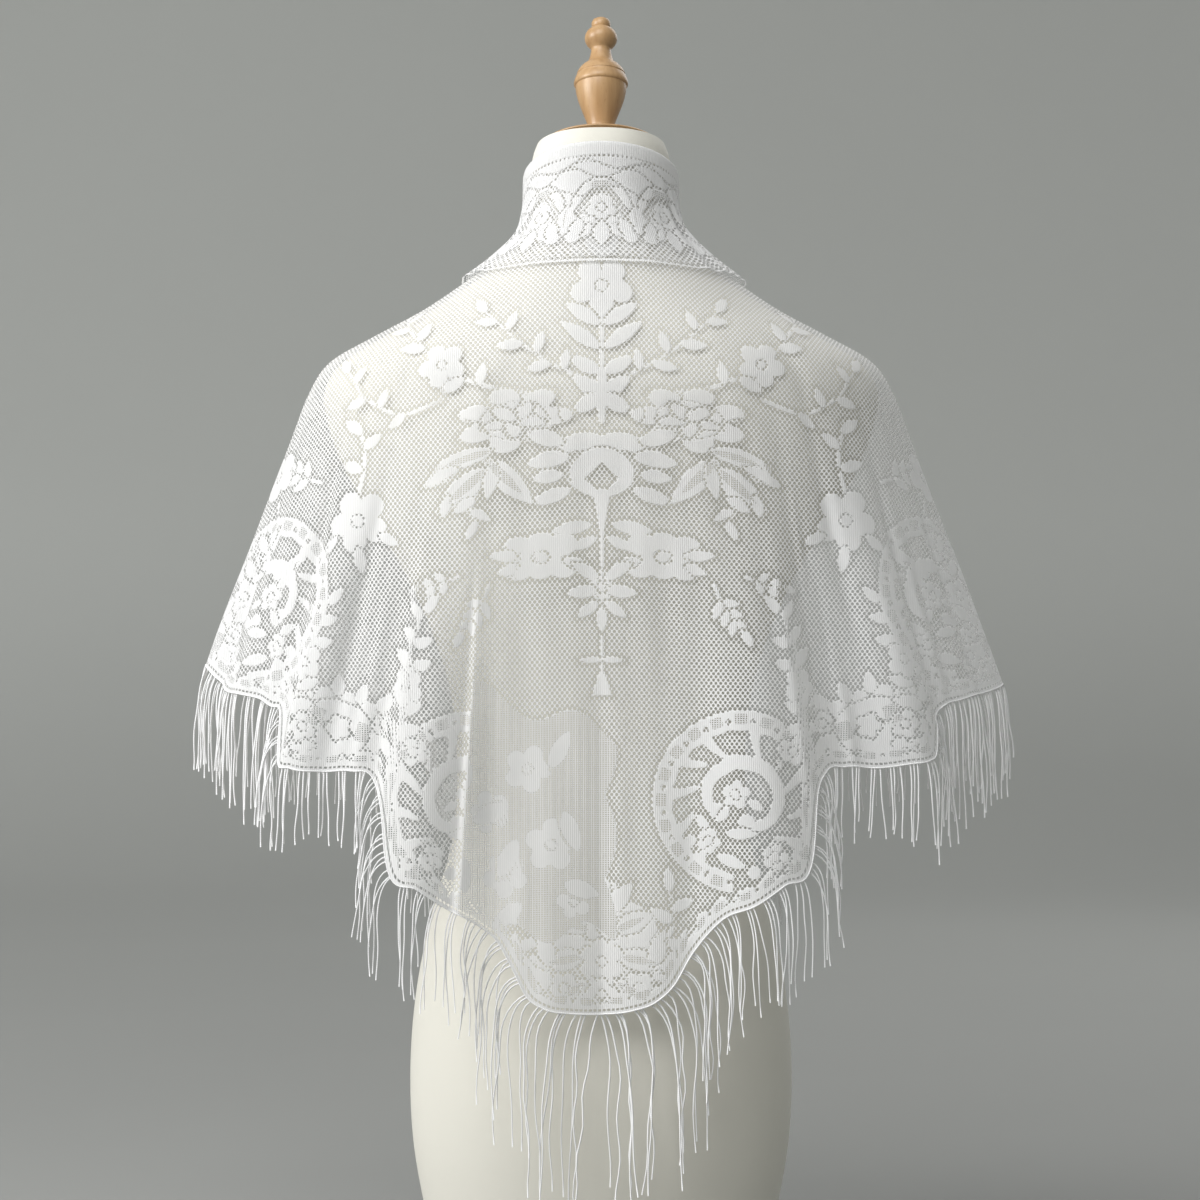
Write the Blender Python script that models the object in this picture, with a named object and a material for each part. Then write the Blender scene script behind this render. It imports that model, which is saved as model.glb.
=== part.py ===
"""A white lace shawl with a long thread fringe, hung as a cape on a limbless dress form.

The shawl is one shallow triangle of lace. Its long straight edge goes round the neck, where the
border is turned down as a collar, its corner hangs at the back, and its two ends hang in front.
The lace is built here as a wall of real thickness that hangs off the shoulders. Its net is even
and finer than 4 mm, so the wall is not pierced.

Frame: metres, +Z up. The back of the shawl faces -Y, and the form stands on Z = 0, with its
upright axis through X = Y = 0. A "turn" is an angle round the form in degrees: 0 at the centre
of the back, 90 at the side at +X, -90 at the side at -X, and 180 at the centre of the front.
"""

import math

import bmesh
import bpy
import numpy as np

NECK_LEAN = math.radians(14)
LEAN_FROM = 0.800
LEAN_TO = 0.910
OVAL_POWER = 2.25
SIDE_SPREAD = 2.3

FORM_COLUMNS = 36
FORM_EDGE_ROUND = 0.006

CAP_GAP = 0.0003
CAP_COLUMNS = 32
CAP_CENTRE_FORWARD = 0.0035

CLOTH_WALL = 0.0012
CLOTH_GAP = 0.0032
COLLAR_TOP = 0.908
COLLAR_TOP_RISE = 0.012
SHOULDER_HEIGHT = 0.750
LOWEST_CLOTH = 0.170
FINE_ROWS = 360
SEAM = 0.0003
SPLIT_OVER = 6.5

COLLAR_LIFT = 0.0022
COLLAR_ROWS = 4
COLLAR_FOLD_SHARE = 0.9

STRIP_DEPTH = 0.003
STRAND_WIDTH = 0.0017
STRAND_COUNTS = {"fringe_back": 36, "fringe_wing_left": 26, "fringe_wing_right": 26,
                 "fringe_front_left": 26, "fringe_front_right": 26}
STRAND_STEPS = (0.12, 0.50, 1.0)
STRAND_THROW = 0.016
STRAND_THROW_RATE = 6
STRAND_LENGTH_SPREAD = (-0.07, 0.05)
STRAND_SWAY = 0.002
STRAND_TAPER = 0.35
STRAND_CLEARANCE = 0.8
STRAND_SEED = 11

# Sections of the form: height, half width, and depth behind and before the axis.
FORM_SECTIONS = (
    (0.000, 0.128, 0.094, 0.082),
    (0.074, 0.145, 0.107, 0.095),
    (0.120, 0.153, 0.114, 0.098),
    (0.178, 0.156, 0.118, 0.100),
    (0.240, 0.152, 0.114, 0.100),
    (0.312, 0.138, 0.098, 0.097),
    (0.368, 0.122, 0.084, 0.092),
    (0.426, 0.118, 0.076, 0.088),
    (0.480, 0.1215, 0.078, 0.091),
    (0.531, 0.135, 0.086, 0.101),
    (0.589, 0.161, 0.095, 0.113),
    (0.637, 0.190, 0.101, 0.117),
    (0.672, 0.2095, 0.104, 0.114),
    (0.710, 0.2235, 0.105, 0.106),
    (0.738, 0.2260, 0.103, 0.095),
    (0.758, 0.2140, 0.099, 0.086),
    (0.778, 0.1830, 0.094, 0.077),
    (0.798, 0.1460, 0.087, 0.068),
    (0.818, 0.1150, 0.079, 0.060),
    (0.838, 0.0860, 0.070, 0.055),
    (0.858, 0.0650, 0.060, 0.0545),
    (0.880, 0.0580, 0.053, 0.0560),
    (0.908, 0.0568, 0.0505, 0.0585),
    (0.926, 0.0562, 0.0500, 0.0580),
    (0.935, 0.0530, 0.0470, 0.0550),
)

# How far the cloth flares out for each metre that it falls below the shoulder, by turn.
FLARES = (
    (0, 0.045), (15, 0.075), (30, 0.150), (45, 0.205), (60, 0.255), (75, 0.300), (90, 0.325),
    (105, 0.300), (120, 0.240), (135, 0.170), (150, 0.100), (165, 0.050), (180, 0.030),
)

# The large folds: turn of the ridge, half width in degrees, rise, height where it starts, and
# how far the cloth falls until the fold has its full rise.
FOLDS = (
    (-154, 7.0, 0.012, 0.62, 0.26), (-131, 7.5, 0.014, 0.68, 0.26), (-109, 7.0, 0.012, 0.71, 0.26),
    (-90, 22.0, 0.009, 0.785, 0.07), (-88, 8.0, 0.011, 0.74, 0.26), (-67, 6.0, 0.009, 0.66, 0.26),
    (-48, 8.0, 0.017, 0.71, 0.26), (-26, 7.0, 0.022, 0.69, 0.26), (-8, 5.0, 0.005, 0.50, 0.22),
    (7, 4.5, 0.005, 0.46, 0.20), (24, 7.0, 0.019, 0.66, 0.26), (50, 8.5, 0.018, 0.72, 0.26),
    (69, 6.0, 0.008, 0.64, 0.26), (90, 22.0, 0.009, 0.785, 0.07), (90, 8.0, 0.011, 0.74, 0.26),
    (111, 7.0, 0.013, 0.70, 0.26), (133, 7.5, 0.012, 0.67, 0.26), (155, 7.0, 0.011, 0.61, 0.26),
)

# The hem's outline: turn, and height of the edge at the left (-X) and at the right (+X).
HEM = (
    (0.0, 0.2430, 0.2430), (4.5, 0.2440, 0.2460), (8.7, 0.2485, 0.2550), (11.1, 0.2580, 0.2680),
    (13.0, 0.2780, 0.2860), (15.3, 0.3000, 0.3030), (18.0, 0.3130, 0.3180), (22.0, 0.3260, 0.3280),
    (25.5, 0.3400, 0.3430), (29.5, 0.3580, 0.3640), (31.4, 0.4020, 0.4140), (33.4, 0.4250, 0.4310),
    (37.0, 0.4310, 0.4350), (42.0, 0.4300, 0.4330), (47.0, 0.4310, 0.4345), (50.6, 0.4400, 0.4360),
    (52.6, 0.4720, 0.4400), (56.0, 0.4800, 0.4690), (60.0, 0.4855, 0.4800), (66.0, 0.4880, 0.4840),
    (73.0, 0.4900, 0.4870), (80.0, 0.4980, 0.4880), (86.0, 0.5050, 0.4890), (91.0, 0.5060, 0.4900),
    (97.0, 0.4950, 0.4860), (104.0, 0.4880, 0.4830), (112.0, 0.4850, 0.4810),
    (120.0, 0.4780, 0.4780), (128.0, 0.4740, 0.4740), (136.0, 0.4700, 0.4700),
    (143.0, 0.4640, 0.4640), (148.0, 0.4480, 0.4480), (151.0, 0.4020, 0.4020),
    (154.0, 0.3660, 0.3660), (159.0, 0.3520, 0.3520), (163.0, 0.3320, 0.3320),
    (166.0, 0.2880, 0.2880), (170.0, 0.2580, 0.2580), (173.5, 0.2420, 0.2420),
    (177.0, 0.2380, 0.2380),
)

# The collar's free edge: turn, how far down the cloth it lies, and how far it stands off.
COLLAR_EDGE = (
    (-177, 0.100, 0.0030), (-120, 0.104, 0.0045), (-90, 0.106, 0.0060), (-45, 0.106, 0.0045),
    (-15, 0.102, 0.0030), (15, 0.102, 0.0030), (45, 0.108, 0.0050), (90, 0.112, 0.0075),
    (120, 0.106, 0.0055), (177, 0.100, 0.0030),
)

# Length of the fringe: turn either way, and length of the thread.
FRINGE_LENGTHS = (
    (0, 0.150), (8, 0.145), (13, 0.120), (18, 0.092), (28, 0.085), (36, 0.062), (45, 0.058),
    (53, 0.086), (62, 0.098), (75, 0.092), (90, 0.082), (135, 0.085), (151, 0.092), (177, 0.105),
)

# Rows of the cloth: distance down from the fold at the neck, then shares of what is left.
NECK_ROWS = (0.0, 0.028, 0.053, 0.077, 0.104, 0.138, 0.176, 0.210, 0.234, 0.258, 0.290)
FALL_ROWS = (0.25, 0.52, 0.78, 1.0)

# Panels of the cloth: name, and the turns of its two side edges.
PANELS = (
    ("lace_front_left", -177, -97),
    ("lace_wing_left", -97, -37),
    ("lace_back", -37, 37),
    ("lace_wing_right", 37, 97),
    ("lace_front_right", 97, 177),
)

# The turned neck cap, then the turned finial on it: radius, and height along the leaning axis.
CAP_PROFILE = (
    (0.0450, 0.0000), (0.0476, 0.0012), (0.0482, 0.0032), (0.0470, 0.0050), (0.0400, 0.0066),
    (0.0250, 0.0082), (0.0160, 0.0088),
)
FINIAL_PROFILE = (
    (0.0150, 0.0000), (0.0152, 0.0025), (0.0118, 0.0050), (0.0104, 0.0110), (0.0122, 0.0175),
    (0.0160, 0.0275), (0.0196, 0.0370), (0.0218, 0.0450), (0.0224, 0.0510), (0.0210, 0.0565),
    (0.0196, 0.0585), (0.0200, 0.0605), (0.0184, 0.0625), (0.0118, 0.0685), (0.0086, 0.0770),
    (0.0082, 0.0810), (0.0100, 0.0835), (0.0130, 0.0875), (0.0135, 0.0900), (0.0122, 0.0950),
    (0.0088, 0.0993), (0.0064, 0.1008), (0.0076, 0.1033), (0.0078, 0.1058), (0.0056, 0.1086),
)
FINIAL_COLUMNS = 16


def curve(known_at, known, wanted):
    """Smooth curve through the known values: a cubic on each stretch, with the slopes of the neighbours."""
    known_at = np.asarray(known_at, float)
    known = np.asarray(known, float)
    slopes = np.gradient(known, known_at)
    wanted = np.clip(wanted, known_at[0], known_at[-1])
    i = np.clip(np.searchsorted(known_at, wanted) - 1, 0, len(known_at) - 2)
    span = known_at[i + 1] - known_at[i]
    t = (wanted - known_at[i]) / span
    return (
        known[i] * (1 + 2 * t) * (1 - t) ** 2
        + known[i + 1] * t**2 * (3 - 2 * t)
        + slopes[i] * span * t * (1 - t) ** 2
        - slopes[i + 1] * span * t**2 * (1 - t)
    )


def eased(share):
    """A share from 0 to 1 that starts and ends softly."""
    share = np.clip(share, 0, 1)
    return share**2 * (3 - 2 * share)


def columns_of(rows):
    return np.array(rows, float).T


def unit(vectors):
    return vectors / np.linalg.norm(vectors, axis=-1, keepdims=True)


def bearing(turn):
    """Polar angle of a turn. Turns crowd towards the sides, where the hem curves most."""
    turn = np.radians(turn)
    return np.arctan2(SIDE_SPREAD * np.sin(turn), np.cos(turn))


def placed(radius, angle, height):
    """Points at a distance and angle from the axis. Rings lean forward as they near the neck's top."""
    lean = math.tan(NECK_LEAN) * eased((height - LEAN_FROM) / (LEAN_TO - LEAN_FROM))
    behind = radius * np.cos(angle)
    return np.stack([radius * np.sin(angle), -behind, height + lean * behind], axis=-1)


def form_radius(height, angle):
    """Distance from the axis to the form: an oval, with one depth behind and another before."""
    heights, half_widths, backs, fronts = columns_of(FORM_SECTIONS)
    half_width = curve(heights, half_widths, height)
    back = curve(heights, backs, height)
    front = curve(heights, fronts, height)
    depth = np.where(np.cos(angle) > 0, back, front)
    across = np.abs(np.sin(angle) / half_width) ** OVAL_POWER
    along = np.abs(np.cos(angle) / depth) ** OVAL_POWER
    return (across + along) ** (-1 / OVAL_POWER)


def normals_of(points):
    """Unit normals of a grid of points, rows going down and columns going round, pointing out."""
    down = np.gradient(points, axis=0)
    round_it = np.gradient(points, axis=1)
    return unit(np.cross(down, round_it))


def folds_at(turn, height):
    """How far the folds stand out: soft ridges that grow as the cloth falls."""
    rise = np.zeros_like(height)
    for ridge, half_width, most, starts, grows_over in FOLDS:
        ridge_shape = np.exp(-(((turn - ridge) / half_width) ** 2))
        rise += most * ridge_shape * eased((starts - height) / grows_over)
    return rise


def hem_height(turn):
    turns, left, right = columns_of(HEM)
    return np.where(turn < 0, np.interp(-turn, turns, left), np.interp(turn, turns, right))


def hung_cloth(turns):
    """The cloth's inner face on fine rows: it follows the form outwards, then falls from where it is widest."""
    angle = bearing(turns)
    top = COLLAR_TOP + COLLAR_TOP_RISE * np.cos(angle)
    height = top + (LOWEST_CLOTH - top) * np.linspace(0, 1, FINE_ROWS)[:, None]
    flare_turns, flares = columns_of(FLARES)
    flare = curve(flare_turns, flares, np.abs(turns))
    slack = flare * np.maximum(0, SHOULDER_HEIGHT - height)
    radius = np.maximum.accumulate(form_radius(height, angle) - slack, axis=0) + slack
    on_form = placed(radius, angle, height)
    lifted = on_form + normals_of(on_form) * (CLOTH_GAP + folds_at(turns, height))[..., None]
    steps = np.linalg.norm(np.diff(lifted, axis=0), axis=-1)
    fallen = np.vstack([np.zeros(len(turns)), np.cumsum(steps, axis=0)])
    return lifted, fallen, height


def rows_down(values, fallen, wanted):
    """Values of each column, read at the wanted distances down from the neck."""
    read = np.empty(wanted.shape + (values.shape[2],))
    for column in range(wanted.shape[1]):
        for axis in range(values.shape[2]):
            read[:, column, axis] = np.interp(wanted[:, column], fallen[:, column], values[:, column, axis])
    return read


def cloth_turns():
    """Turns of all columns of the cloth: the hem's own corners, and points between where they are far apart."""
    side = []
    corners = [row[0] for row in HEM]
    for start, end in zip(corners, corners[1:]):
        side += list(np.linspace(start, end, 2 if end - start > SPLIT_OVER else 1, endpoint=False))
    side += [corners[-1]] + [edge for _, _, edge in PANELS if edge not in corners and edge > 0]
    side = sorted(set(side))
    return np.array([-turn for turn in side[:0:-1]] + side)


def seam_gap(points):
    """A panel's grid with its two side edges drawn in by half a seam."""
    points = points.copy()
    for edge, beside in ((0, 1), (-1, -2)):
        inward = points[:, beside] - points[:, edge]
        points[:, edge] += inward / np.linalg.norm(inward, axis=-1, keepdims=True) * SEAM / 2
    return points


def grid_faces(rows, columns):
    """Quads of a grid, as rows of four indices."""
    index = np.arange(rows * columns).reshape(rows, columns)
    return np.stack([index[:-1, :-1], index[1:, :-1], index[1:, 1:], index[:-1, 1:]], axis=-1).reshape(-1, 4)


def wall_mesh(inner, outer):
    """A closed wall between two grids of points, with its four narrow sides."""
    rows, columns = inner.shape[:2]
    count = rows * columns
    quads = grid_faces(rows, columns)
    faces = [tuple(face) for face in quads + count] + [tuple(face) for face in quads[:, ::-1]]
    index = np.arange(count).reshape(rows, columns)
    rim = np.concatenate([index[0, :-1], index[:-1, -1], index[-1, :0:-1], index[:0:-1, 0]])
    faces += [(a, b, b + count, a + count) for a, b in zip(rim, np.roll(rim, -1))]
    return np.concatenate([inner.reshape(-1, 3), outer.reshape(-1, 3)]), faces


def make_object(name, points, faces, look, smooth_below=50):
    """A named object with its faces pointing out, in its own material."""
    mesh = bpy.data.meshes.new(name)
    mesh.from_pydata([tuple(point) for point in points], [], [tuple(map(int, face)) for face in faces])
    shape = bmesh.new()
    shape.from_mesh(mesh)
    bmesh.ops.recalc_face_normals(shape, faces=shape.faces)
    bmesh.ops.triangulate(shape, faces=shape.faces)
    shape.to_mesh(mesh)
    shape.free()
    mesh.shade_smooth()
    mesh.set_sharp_from_angle(angle=math.radians(smooth_below))
    mesh.materials.append(look)
    made = bpy.data.objects.new(name, mesh)
    bpy.context.scene.collection.objects.link(made)
    return made


def finish(name, colour, roughness, sheen=0.0):
    """A Principled material of one colour."""
    look = bpy.data.materials.new(name)
    look.use_nodes = True
    shader = look.node_tree.nodes["Principled BSDF"]
    shader.inputs["Base Color"].default_value = (*colour, 1)
    shader.inputs["Roughness"].default_value = roughness
    shader.inputs["Metallic"].default_value = 0.0
    shader.inputs["Sheen Weight"].default_value = sheen
    return look


def ring_body(rings):
    """A closed body through rings of points, with a flat face at each end."""
    count, columns = rings.shape[:2]
    faces = []
    for ring in range(count - 1):
        start = ring * columns
        for column in range(columns):
            beside = (column + 1) % columns
            faces.append((start + column, start + beside, start + columns + beside, start + columns + column))
    faces.append(tuple(range(columns))[::-1])
    faces.append(tuple(range((count - 1) * columns, count * columns)))
    return rings.reshape(-1, 3), faces


def make_form():
    """The dress form's torso, from its flat underside to the flat top of its neck."""
    heights = [row[0] for row in FORM_SECTIONS]
    angle = bearing(np.arange(FORM_COLUMNS) * 360 / FORM_COLUMNS)
    rings = [placed(form_radius(np.full_like(angle, h), angle), angle, np.full_like(angle, h)) for h in heights]
    underside = rings[0] * np.array([1, 1, 0])
    rings[0] = underside + np.array([0, 0, FORM_EDGE_ROUND])
    rings.insert(0, underside * (1 - FORM_EDGE_ROUND / FORM_SECTIONS[0][1]))
    points, faces = ring_body(np.array(rings))
    make_object("form_body", points, faces, finish("form_jersey", (0.84, 0.81, 0.74), 0.75, 0.2))


def turned(profile, columns, foot):
    """A body turned from a profile round the neck's leaning axis, standing on the point given."""
    radius, height = columns_of(profile)
    angle = np.arange(columns) * 2 * math.pi / columns
    across = radius[:, None] * np.cos(angle)
    along = radius[:, None] * np.sin(angle)
    up = np.broadcast_to(height[:, None], across.shape)
    lean_y = along * math.cos(NECK_LEAN) + up * math.sin(NECK_LEAN)
    lean_z = up * math.cos(NECK_LEAN) - along * math.sin(NECK_LEAN)
    return ring_body(np.stack([across, lean_y, lean_z], axis=-1) + foot)


def make_cap_and_finial():
    """The wooden disc on the neck, and the turned knob that stands on it."""
    top_height = FORM_SECTIONS[-1][0]
    up = np.array([0, math.sin(NECK_LEAN), math.cos(NECK_LEAN)])
    centre = np.array([0, CAP_CENTRE_FORWARD, top_height - CAP_CENTRE_FORWARD * math.tan(NECK_LEAN)])
    wood = finish("beech_wood", (0.55, 0.33, 0.16), 0.45)
    cap_foot = centre + up * CAP_GAP
    points, faces = turned(CAP_PROFILE, CAP_COLUMNS, cap_foot)
    make_object("neck_cap", points, faces, wood)
    finial_foot = cap_foot + up * (CAP_PROFILE[-1][1] + CAP_GAP)
    points, faces = turned(FINIAL_PROFILE, FINIAL_COLUMNS, finial_foot)
    make_object("finial", points, faces, finish("finial_wood", (0.55, 0.33, 0.16), 0.45))


def make_panels(turns, inner, outer):
    """The lace of the back, of each wing and of each front, parted at the seams between them."""
    for name, start, end in PANELS:
        held = (turns >= start) & (turns <= end)
        points, faces = wall_mesh(seam_gap(inner[:, held]), seam_gap(outer[:, held]))
        make_object(name, points, faces, finish(name + "_lace", (0.86, 0.86, 0.88), 0.8, 0.3))


def make_collar(turns, lifted, fallen):
    """The border turned down round the neck: it starts over the fold, then hangs outside the cloth."""
    kept = np.unique(np.concatenate([np.arange(0, len(turns), 2), [len(turns) - 1]]))
    edge_turns, edge_falls, edge_lifts = columns_of(COLLAR_EDGE)
    fall = curve(edge_turns, edge_falls, turns[kept])
    stand_off = curve(edge_turns, edge_lifts, turns[kept])
    share = np.linspace(0, 1, COLLAR_ROWS)[:, None]
    under = rows_down(lifted[:, kept], fallen[:, kept], share * fall)
    out = normals_of(under)
    lift = CLOTH_WALL + COLLAR_LIFT + (stand_off - COLLAR_LIFT) * eased(share)
    hung = under + out * lift[..., None]
    fold_above = hung[0] - out[0] * (CLOTH_WALL + COLLAR_LIFT) * COLLAR_FOLD_SHARE
    fold_above[:, 2] += CLOTH_WALL + SEAM * 2
    hung[0, :, 2] += CLOTH_WALL
    inner = np.concatenate([fold_above[None], hung])
    up = np.array([0, 0, 1.0])
    outward = np.concatenate([np.broadcast_to(up, out[:1].shape), out])
    outward[1] = (out[0] + up) / np.linalg.norm(out[0] + up, axis=-1, keepdims=True)
    points, faces = wall_mesh(inner, inner + outward * CLOTH_WALL)
    make_object("lace_collar", points, faces, finish("collar_lace", (0.88, 0.88, 0.90), 0.8, 0.3))


def hem_directions(edge_in, edge_out):
    """Along the hem, and away from it square to the hem within the cloth."""
    along = unit(np.gradient((edge_in + edge_out) / 2, axis=0))
    away = unit(np.cross(along, unit(edge_out - edge_in)))
    return along, away * np.where(away[:, 2:] > 0, -1, 1)


def make_fringe(name, hem_turns, edge_in, edge_out, along, away, rng):
    """A narrow strip just below the hem, with its strands growing from it: square to the hem at first, then down."""
    middle = (edge_in + edge_out) / 2
    count = STRAND_COUNTS[name]
    rooms = np.linspace(hem_turns[0], hem_turns[-1], count + 1)
    roots = (rooms[:-1] + rooms[1:]) / 2
    fallen = np.concatenate([[0], np.cumsum(np.linalg.norm(np.diff(middle, axis=0), axis=1))])
    root_at = np.interp(roots, hem_turns, fallen)
    root_at = np.maximum(root_at, fallen[0] + STRAND_WIDTH)
    root_at = np.minimum(root_at, fallen[-1] - STRAND_WIDTH)
    pairs = np.stack([root_at - STRAND_WIDTH / 2, root_at + STRAND_WIDTH / 2], axis=1).reshape(-1)
    own = [place for place in fallen if np.abs(place - root_at).min() > STRAND_WIDTH * STRAND_CLEARANCE]
    stations = np.sort(np.concatenate([pairs, own]))

    def at(values):
        return np.stack([np.interp(stations, fallen, values[:, axis]) for axis in range(3)], axis=1)

    inside = at(edge_in)
    outside = at(edge_out)
    leaving = unit(at(away))
    ends = np.array([SEAM / 2] + [0] * (len(stations) - 2) + [-SEAM / 2])[:, None] * at(along)
    top_in, top_out = inside + leaving * SEAM + ends, outside + leaving * SEAM + ends
    low_in, low_out = top_in + leaving * STRIP_DEPTH, top_out + leaving * STRIP_DEPTH
    points = list(np.concatenate([top_in, top_out, low_out, low_in]))
    n = len(stations)
    faces = [(0, n, 2 * n, 3 * n), (n - 1, 4 * n - 1, 3 * n - 1, 2 * n - 1)]
    lengths_at, lengths = columns_of(FRINGE_LENGTHS)
    first_of_pair = {int(np.argmin(np.abs(stations - place))) for place in pairs[::2]}
    for i in range(n - 1):
        faces.append((i, i + 1, n + i + 1, n + i))
        faces.append((n + i, n + i + 1, 2 * n + i + 1, 2 * n + i))
        faces.append((3 * n + i, 3 * n + i + 1, i + 1, i))
        if i not in first_of_pair:
            faces.append((2 * n + i, 2 * n + i + 1, 3 * n + i + 1, 3 * n + i))
            continue
        turn = abs(np.interp((stations[i] + stations[i + 1]) / 2, fallen, hem_turns))
        length = curve(lengths_at, lengths, turn) * (1 + rng.uniform(*STRAND_LENGTH_SPREAD))
        a, b, c, d = 2 * n + i, 2 * n + i + 1, 3 * n + i + 1, 3 * n + i
        base = np.array([points[a], points[b], (points[c] + points[d]) / 2])
        centre = base.mean(axis=0)
        throw = leaving[i] * np.array([1, 1, 0]) * STRAND_THROW
        sway = np.array([rng.uniform(-1, 1), rng.uniform(-1, 1), 0]) * STRAND_SWAY
        previous = None
        for step, share in enumerate(STRAND_STEPS):
            drop = np.array([0, 0, -length * share])
            middle_now = centre + throw * (1 - math.exp(-STRAND_THROW_RATE * share)) + sway * share + drop
            ring = middle_now + (base - centre) * (1 - STRAND_TAPER * share)
            ring[:, 2] = middle_now[2]
            start = len(points)
            points.extend(ring)
            p, q, r = start, start + 1, start + 2
            if previous is None:
                faces += [(a, b, q, p), (b, c, r, q), (c, d, r), (d, a, p, r)]
            else:
                u, v, w = previous
                faces += [(u, v, q, p), (v, w, r, q), (w, u, p, r)]
            previous = (p, q, r)
        faces.append(previous[::-1])
    make_object(name, np.array(points), faces, finish(name + "_thread", (0.88, 0.88, 0.90), 0.7, 0.2))


def make_shawl():
    turns = cloth_turns()
    lifted, fallen, height = hung_cloth(turns)
    hem = hem_height(turns)
    hem_fall = np.array([np.interp(-hem[i], -height[:, i], fallen[:, i]) for i in range(len(turns))])
    wanted = [np.full(len(turns), row) for row in NECK_ROWS]
    wanted += [NECK_ROWS[-1] + share * (hem_fall - NECK_ROWS[-1]) for share in FALL_ROWS]
    inner = rows_down(lifted, fallen, np.array(wanted))
    outer = inner + normals_of(inner) * CLOTH_WALL
    make_panels(turns, inner, outer)
    make_collar(turns, lifted, fallen)
    rng = np.random.default_rng(STRAND_SEED)
    edge_in, edge_out = inner[-1], outer[-1]
    along, away = hem_directions(edge_in, edge_out)
    for name, start, end in PANELS:
        held = (turns >= start) & (turns <= end)
        fringe = name.replace("lace", "fringe")
        make_fringe(fringe, turns[held], edge_in[held], edge_out[held], along[held], away[held], rng)


def main():
    for old in list(bpy.data.objects):
        bpy.data.objects.remove(old, do_unlink=True)
    make_form()
    make_cap_and_finial()
    make_shawl()


main()
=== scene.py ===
"""A white lace shawl with a long thread fringe on a limbless dress form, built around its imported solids.

Metres, +Z up. The back of the shawl faces -Y. A "turn" is an angle round the form in degrees: 0 at the
centre of the back, 90 at the side at +X, -90 at the side at -X, and 180 at the centre of the front.
The lace has two coordinates of its own, in millimetres on the flat cloth: across, from the centre line,
and down, from the line round the neck. Its motifs are drawn in those coordinates as distances to shapes.
"""

import functools
import math

import bpy
import numpy as np
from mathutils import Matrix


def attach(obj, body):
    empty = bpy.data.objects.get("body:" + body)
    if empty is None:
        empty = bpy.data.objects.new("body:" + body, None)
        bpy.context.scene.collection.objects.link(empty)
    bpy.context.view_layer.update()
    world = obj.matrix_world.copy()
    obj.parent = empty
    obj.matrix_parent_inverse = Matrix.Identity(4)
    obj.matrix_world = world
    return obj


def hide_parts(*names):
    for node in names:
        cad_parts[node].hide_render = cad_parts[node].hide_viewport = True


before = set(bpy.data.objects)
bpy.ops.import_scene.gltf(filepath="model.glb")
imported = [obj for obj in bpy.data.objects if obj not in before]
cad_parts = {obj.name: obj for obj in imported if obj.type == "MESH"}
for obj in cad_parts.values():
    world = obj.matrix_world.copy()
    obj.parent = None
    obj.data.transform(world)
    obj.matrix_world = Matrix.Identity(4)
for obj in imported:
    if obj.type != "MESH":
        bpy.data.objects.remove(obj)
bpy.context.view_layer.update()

bl_info = {
    "name": "Lace Shawl on a Dress Form",
    "version": (1, 0, 0),
    "blender": (4, 5, 0),
    "location": "3D View > Sidebar > Lace Shawl",
    "description": "Makes a fringed lace shawl as it hangs on a dress form",
    "category": "Object",
}

BODY = "root"
MM = 0.001
UP = np.array([0, 0, 1.0])

# The form and its wood.
NECK_LEAN = math.radians(14)
LEAN_FROM = 0.800
LEAN_TO = 0.910
OVAL_POWER = 2.25
SIDE_SPREAD = 2.3
FORM_EDGE_ROUND = 0.006
FORM_EDGE_ROWS = 5
FORM_COLUMNS, FORM_ROWS = 192, 150
FORM_SHARP = math.radians(45)
CAP_GAP = 0.0003
CAP_CENTRE_FORWARD = 0.0035
WOOD_COLUMNS = 96
WOOD_SHARP = math.radians(38)

# How the cloth hangs.
CLOTH_WALL = 0.0012
CLOTH_GAP = 0.0032
LEAST_GAP = 0.0014
COLLAR_TOP = 0.908
COLLAR_TOP_RISE = 0.012
SHOULDER_HEIGHT = 0.750
LOWEST_CLOTH = 0.170
RIPPLE = 0.0005
COLLAR_LIFT = 0.0022
COLLAR_REST = 0.0020
COLLAR_LOOSE = 0.25

# Grids: rows down the cloth and the distance between its columns, and the rows used on the way to them.
FINE_ROWS = 360
CLOTH_ROWS = 330
CLOTH_SPACING = 0.0023
COLLAR_ROWS = 56
ROLL_ROWS = 5
COARSE_COLUMNS = 709
FLAT_ROWS = 60

# The flat cloth: radius of the neck's line in the fan, and how far down the cloth its columns are spaced
# and its levels end.
NECK_ARC = 0.118
SPACED_AT = 0.42
LONGEST_FALL = 0.74

# How many columns to each side the hem is looked for, and over how many its direction is evened out.
NEAR_COLUMNS, NEAR_STEP = 36, 2
EVENED_OVER = 5

# The drawing, in millimetres: the distance that stands for no shape, and the steps along a stem.
NO_SHAPE = 40.0
STEM_STEPS = 14
COLLAR_REPEAT = 54
BORDER_REPEAT = 23
EYE_PITCH, EYE_ROW = 4.2, 15.5
DOUBLED_ACROSS = 5

# The lace's texture, in millimetres.
RIB_PITCH = 1.6
GAUZE_ACROSS, GAUZE_DOWN = 2.1, 1.7
SLOT_PITCH = 3.7
SLOT_INSET = 3.1
THREAD_GLOW = 0.32

# The thread's strands and the jersey's stitches, in millimetres.
STRAND_PITCH = 1.5
STITCH_WIDTH, STITCH_HEIGHT = 1.1, 0.9

# The fringe and the hem's cord: steps along a thread, its sides, how far it keeps off the form, how much
# threads drift and wave, and which share of them is cut short and how short.
THREAD_STEPS = 16
THREAD_SIDES = 4
THREAD_CLEAR = 0.0016
DRIFT_ASIDE, DRIFT_OUT = 0.048, 0.030
WAVE_ASIDE, WAVE_OUT = 0.0015, 0.0010
SHORT_THREADS, SHORT_LENGTH = 0.07, 0.72
CORD_RADIUS = 0.00058
CORD_SIDES = 6

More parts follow.
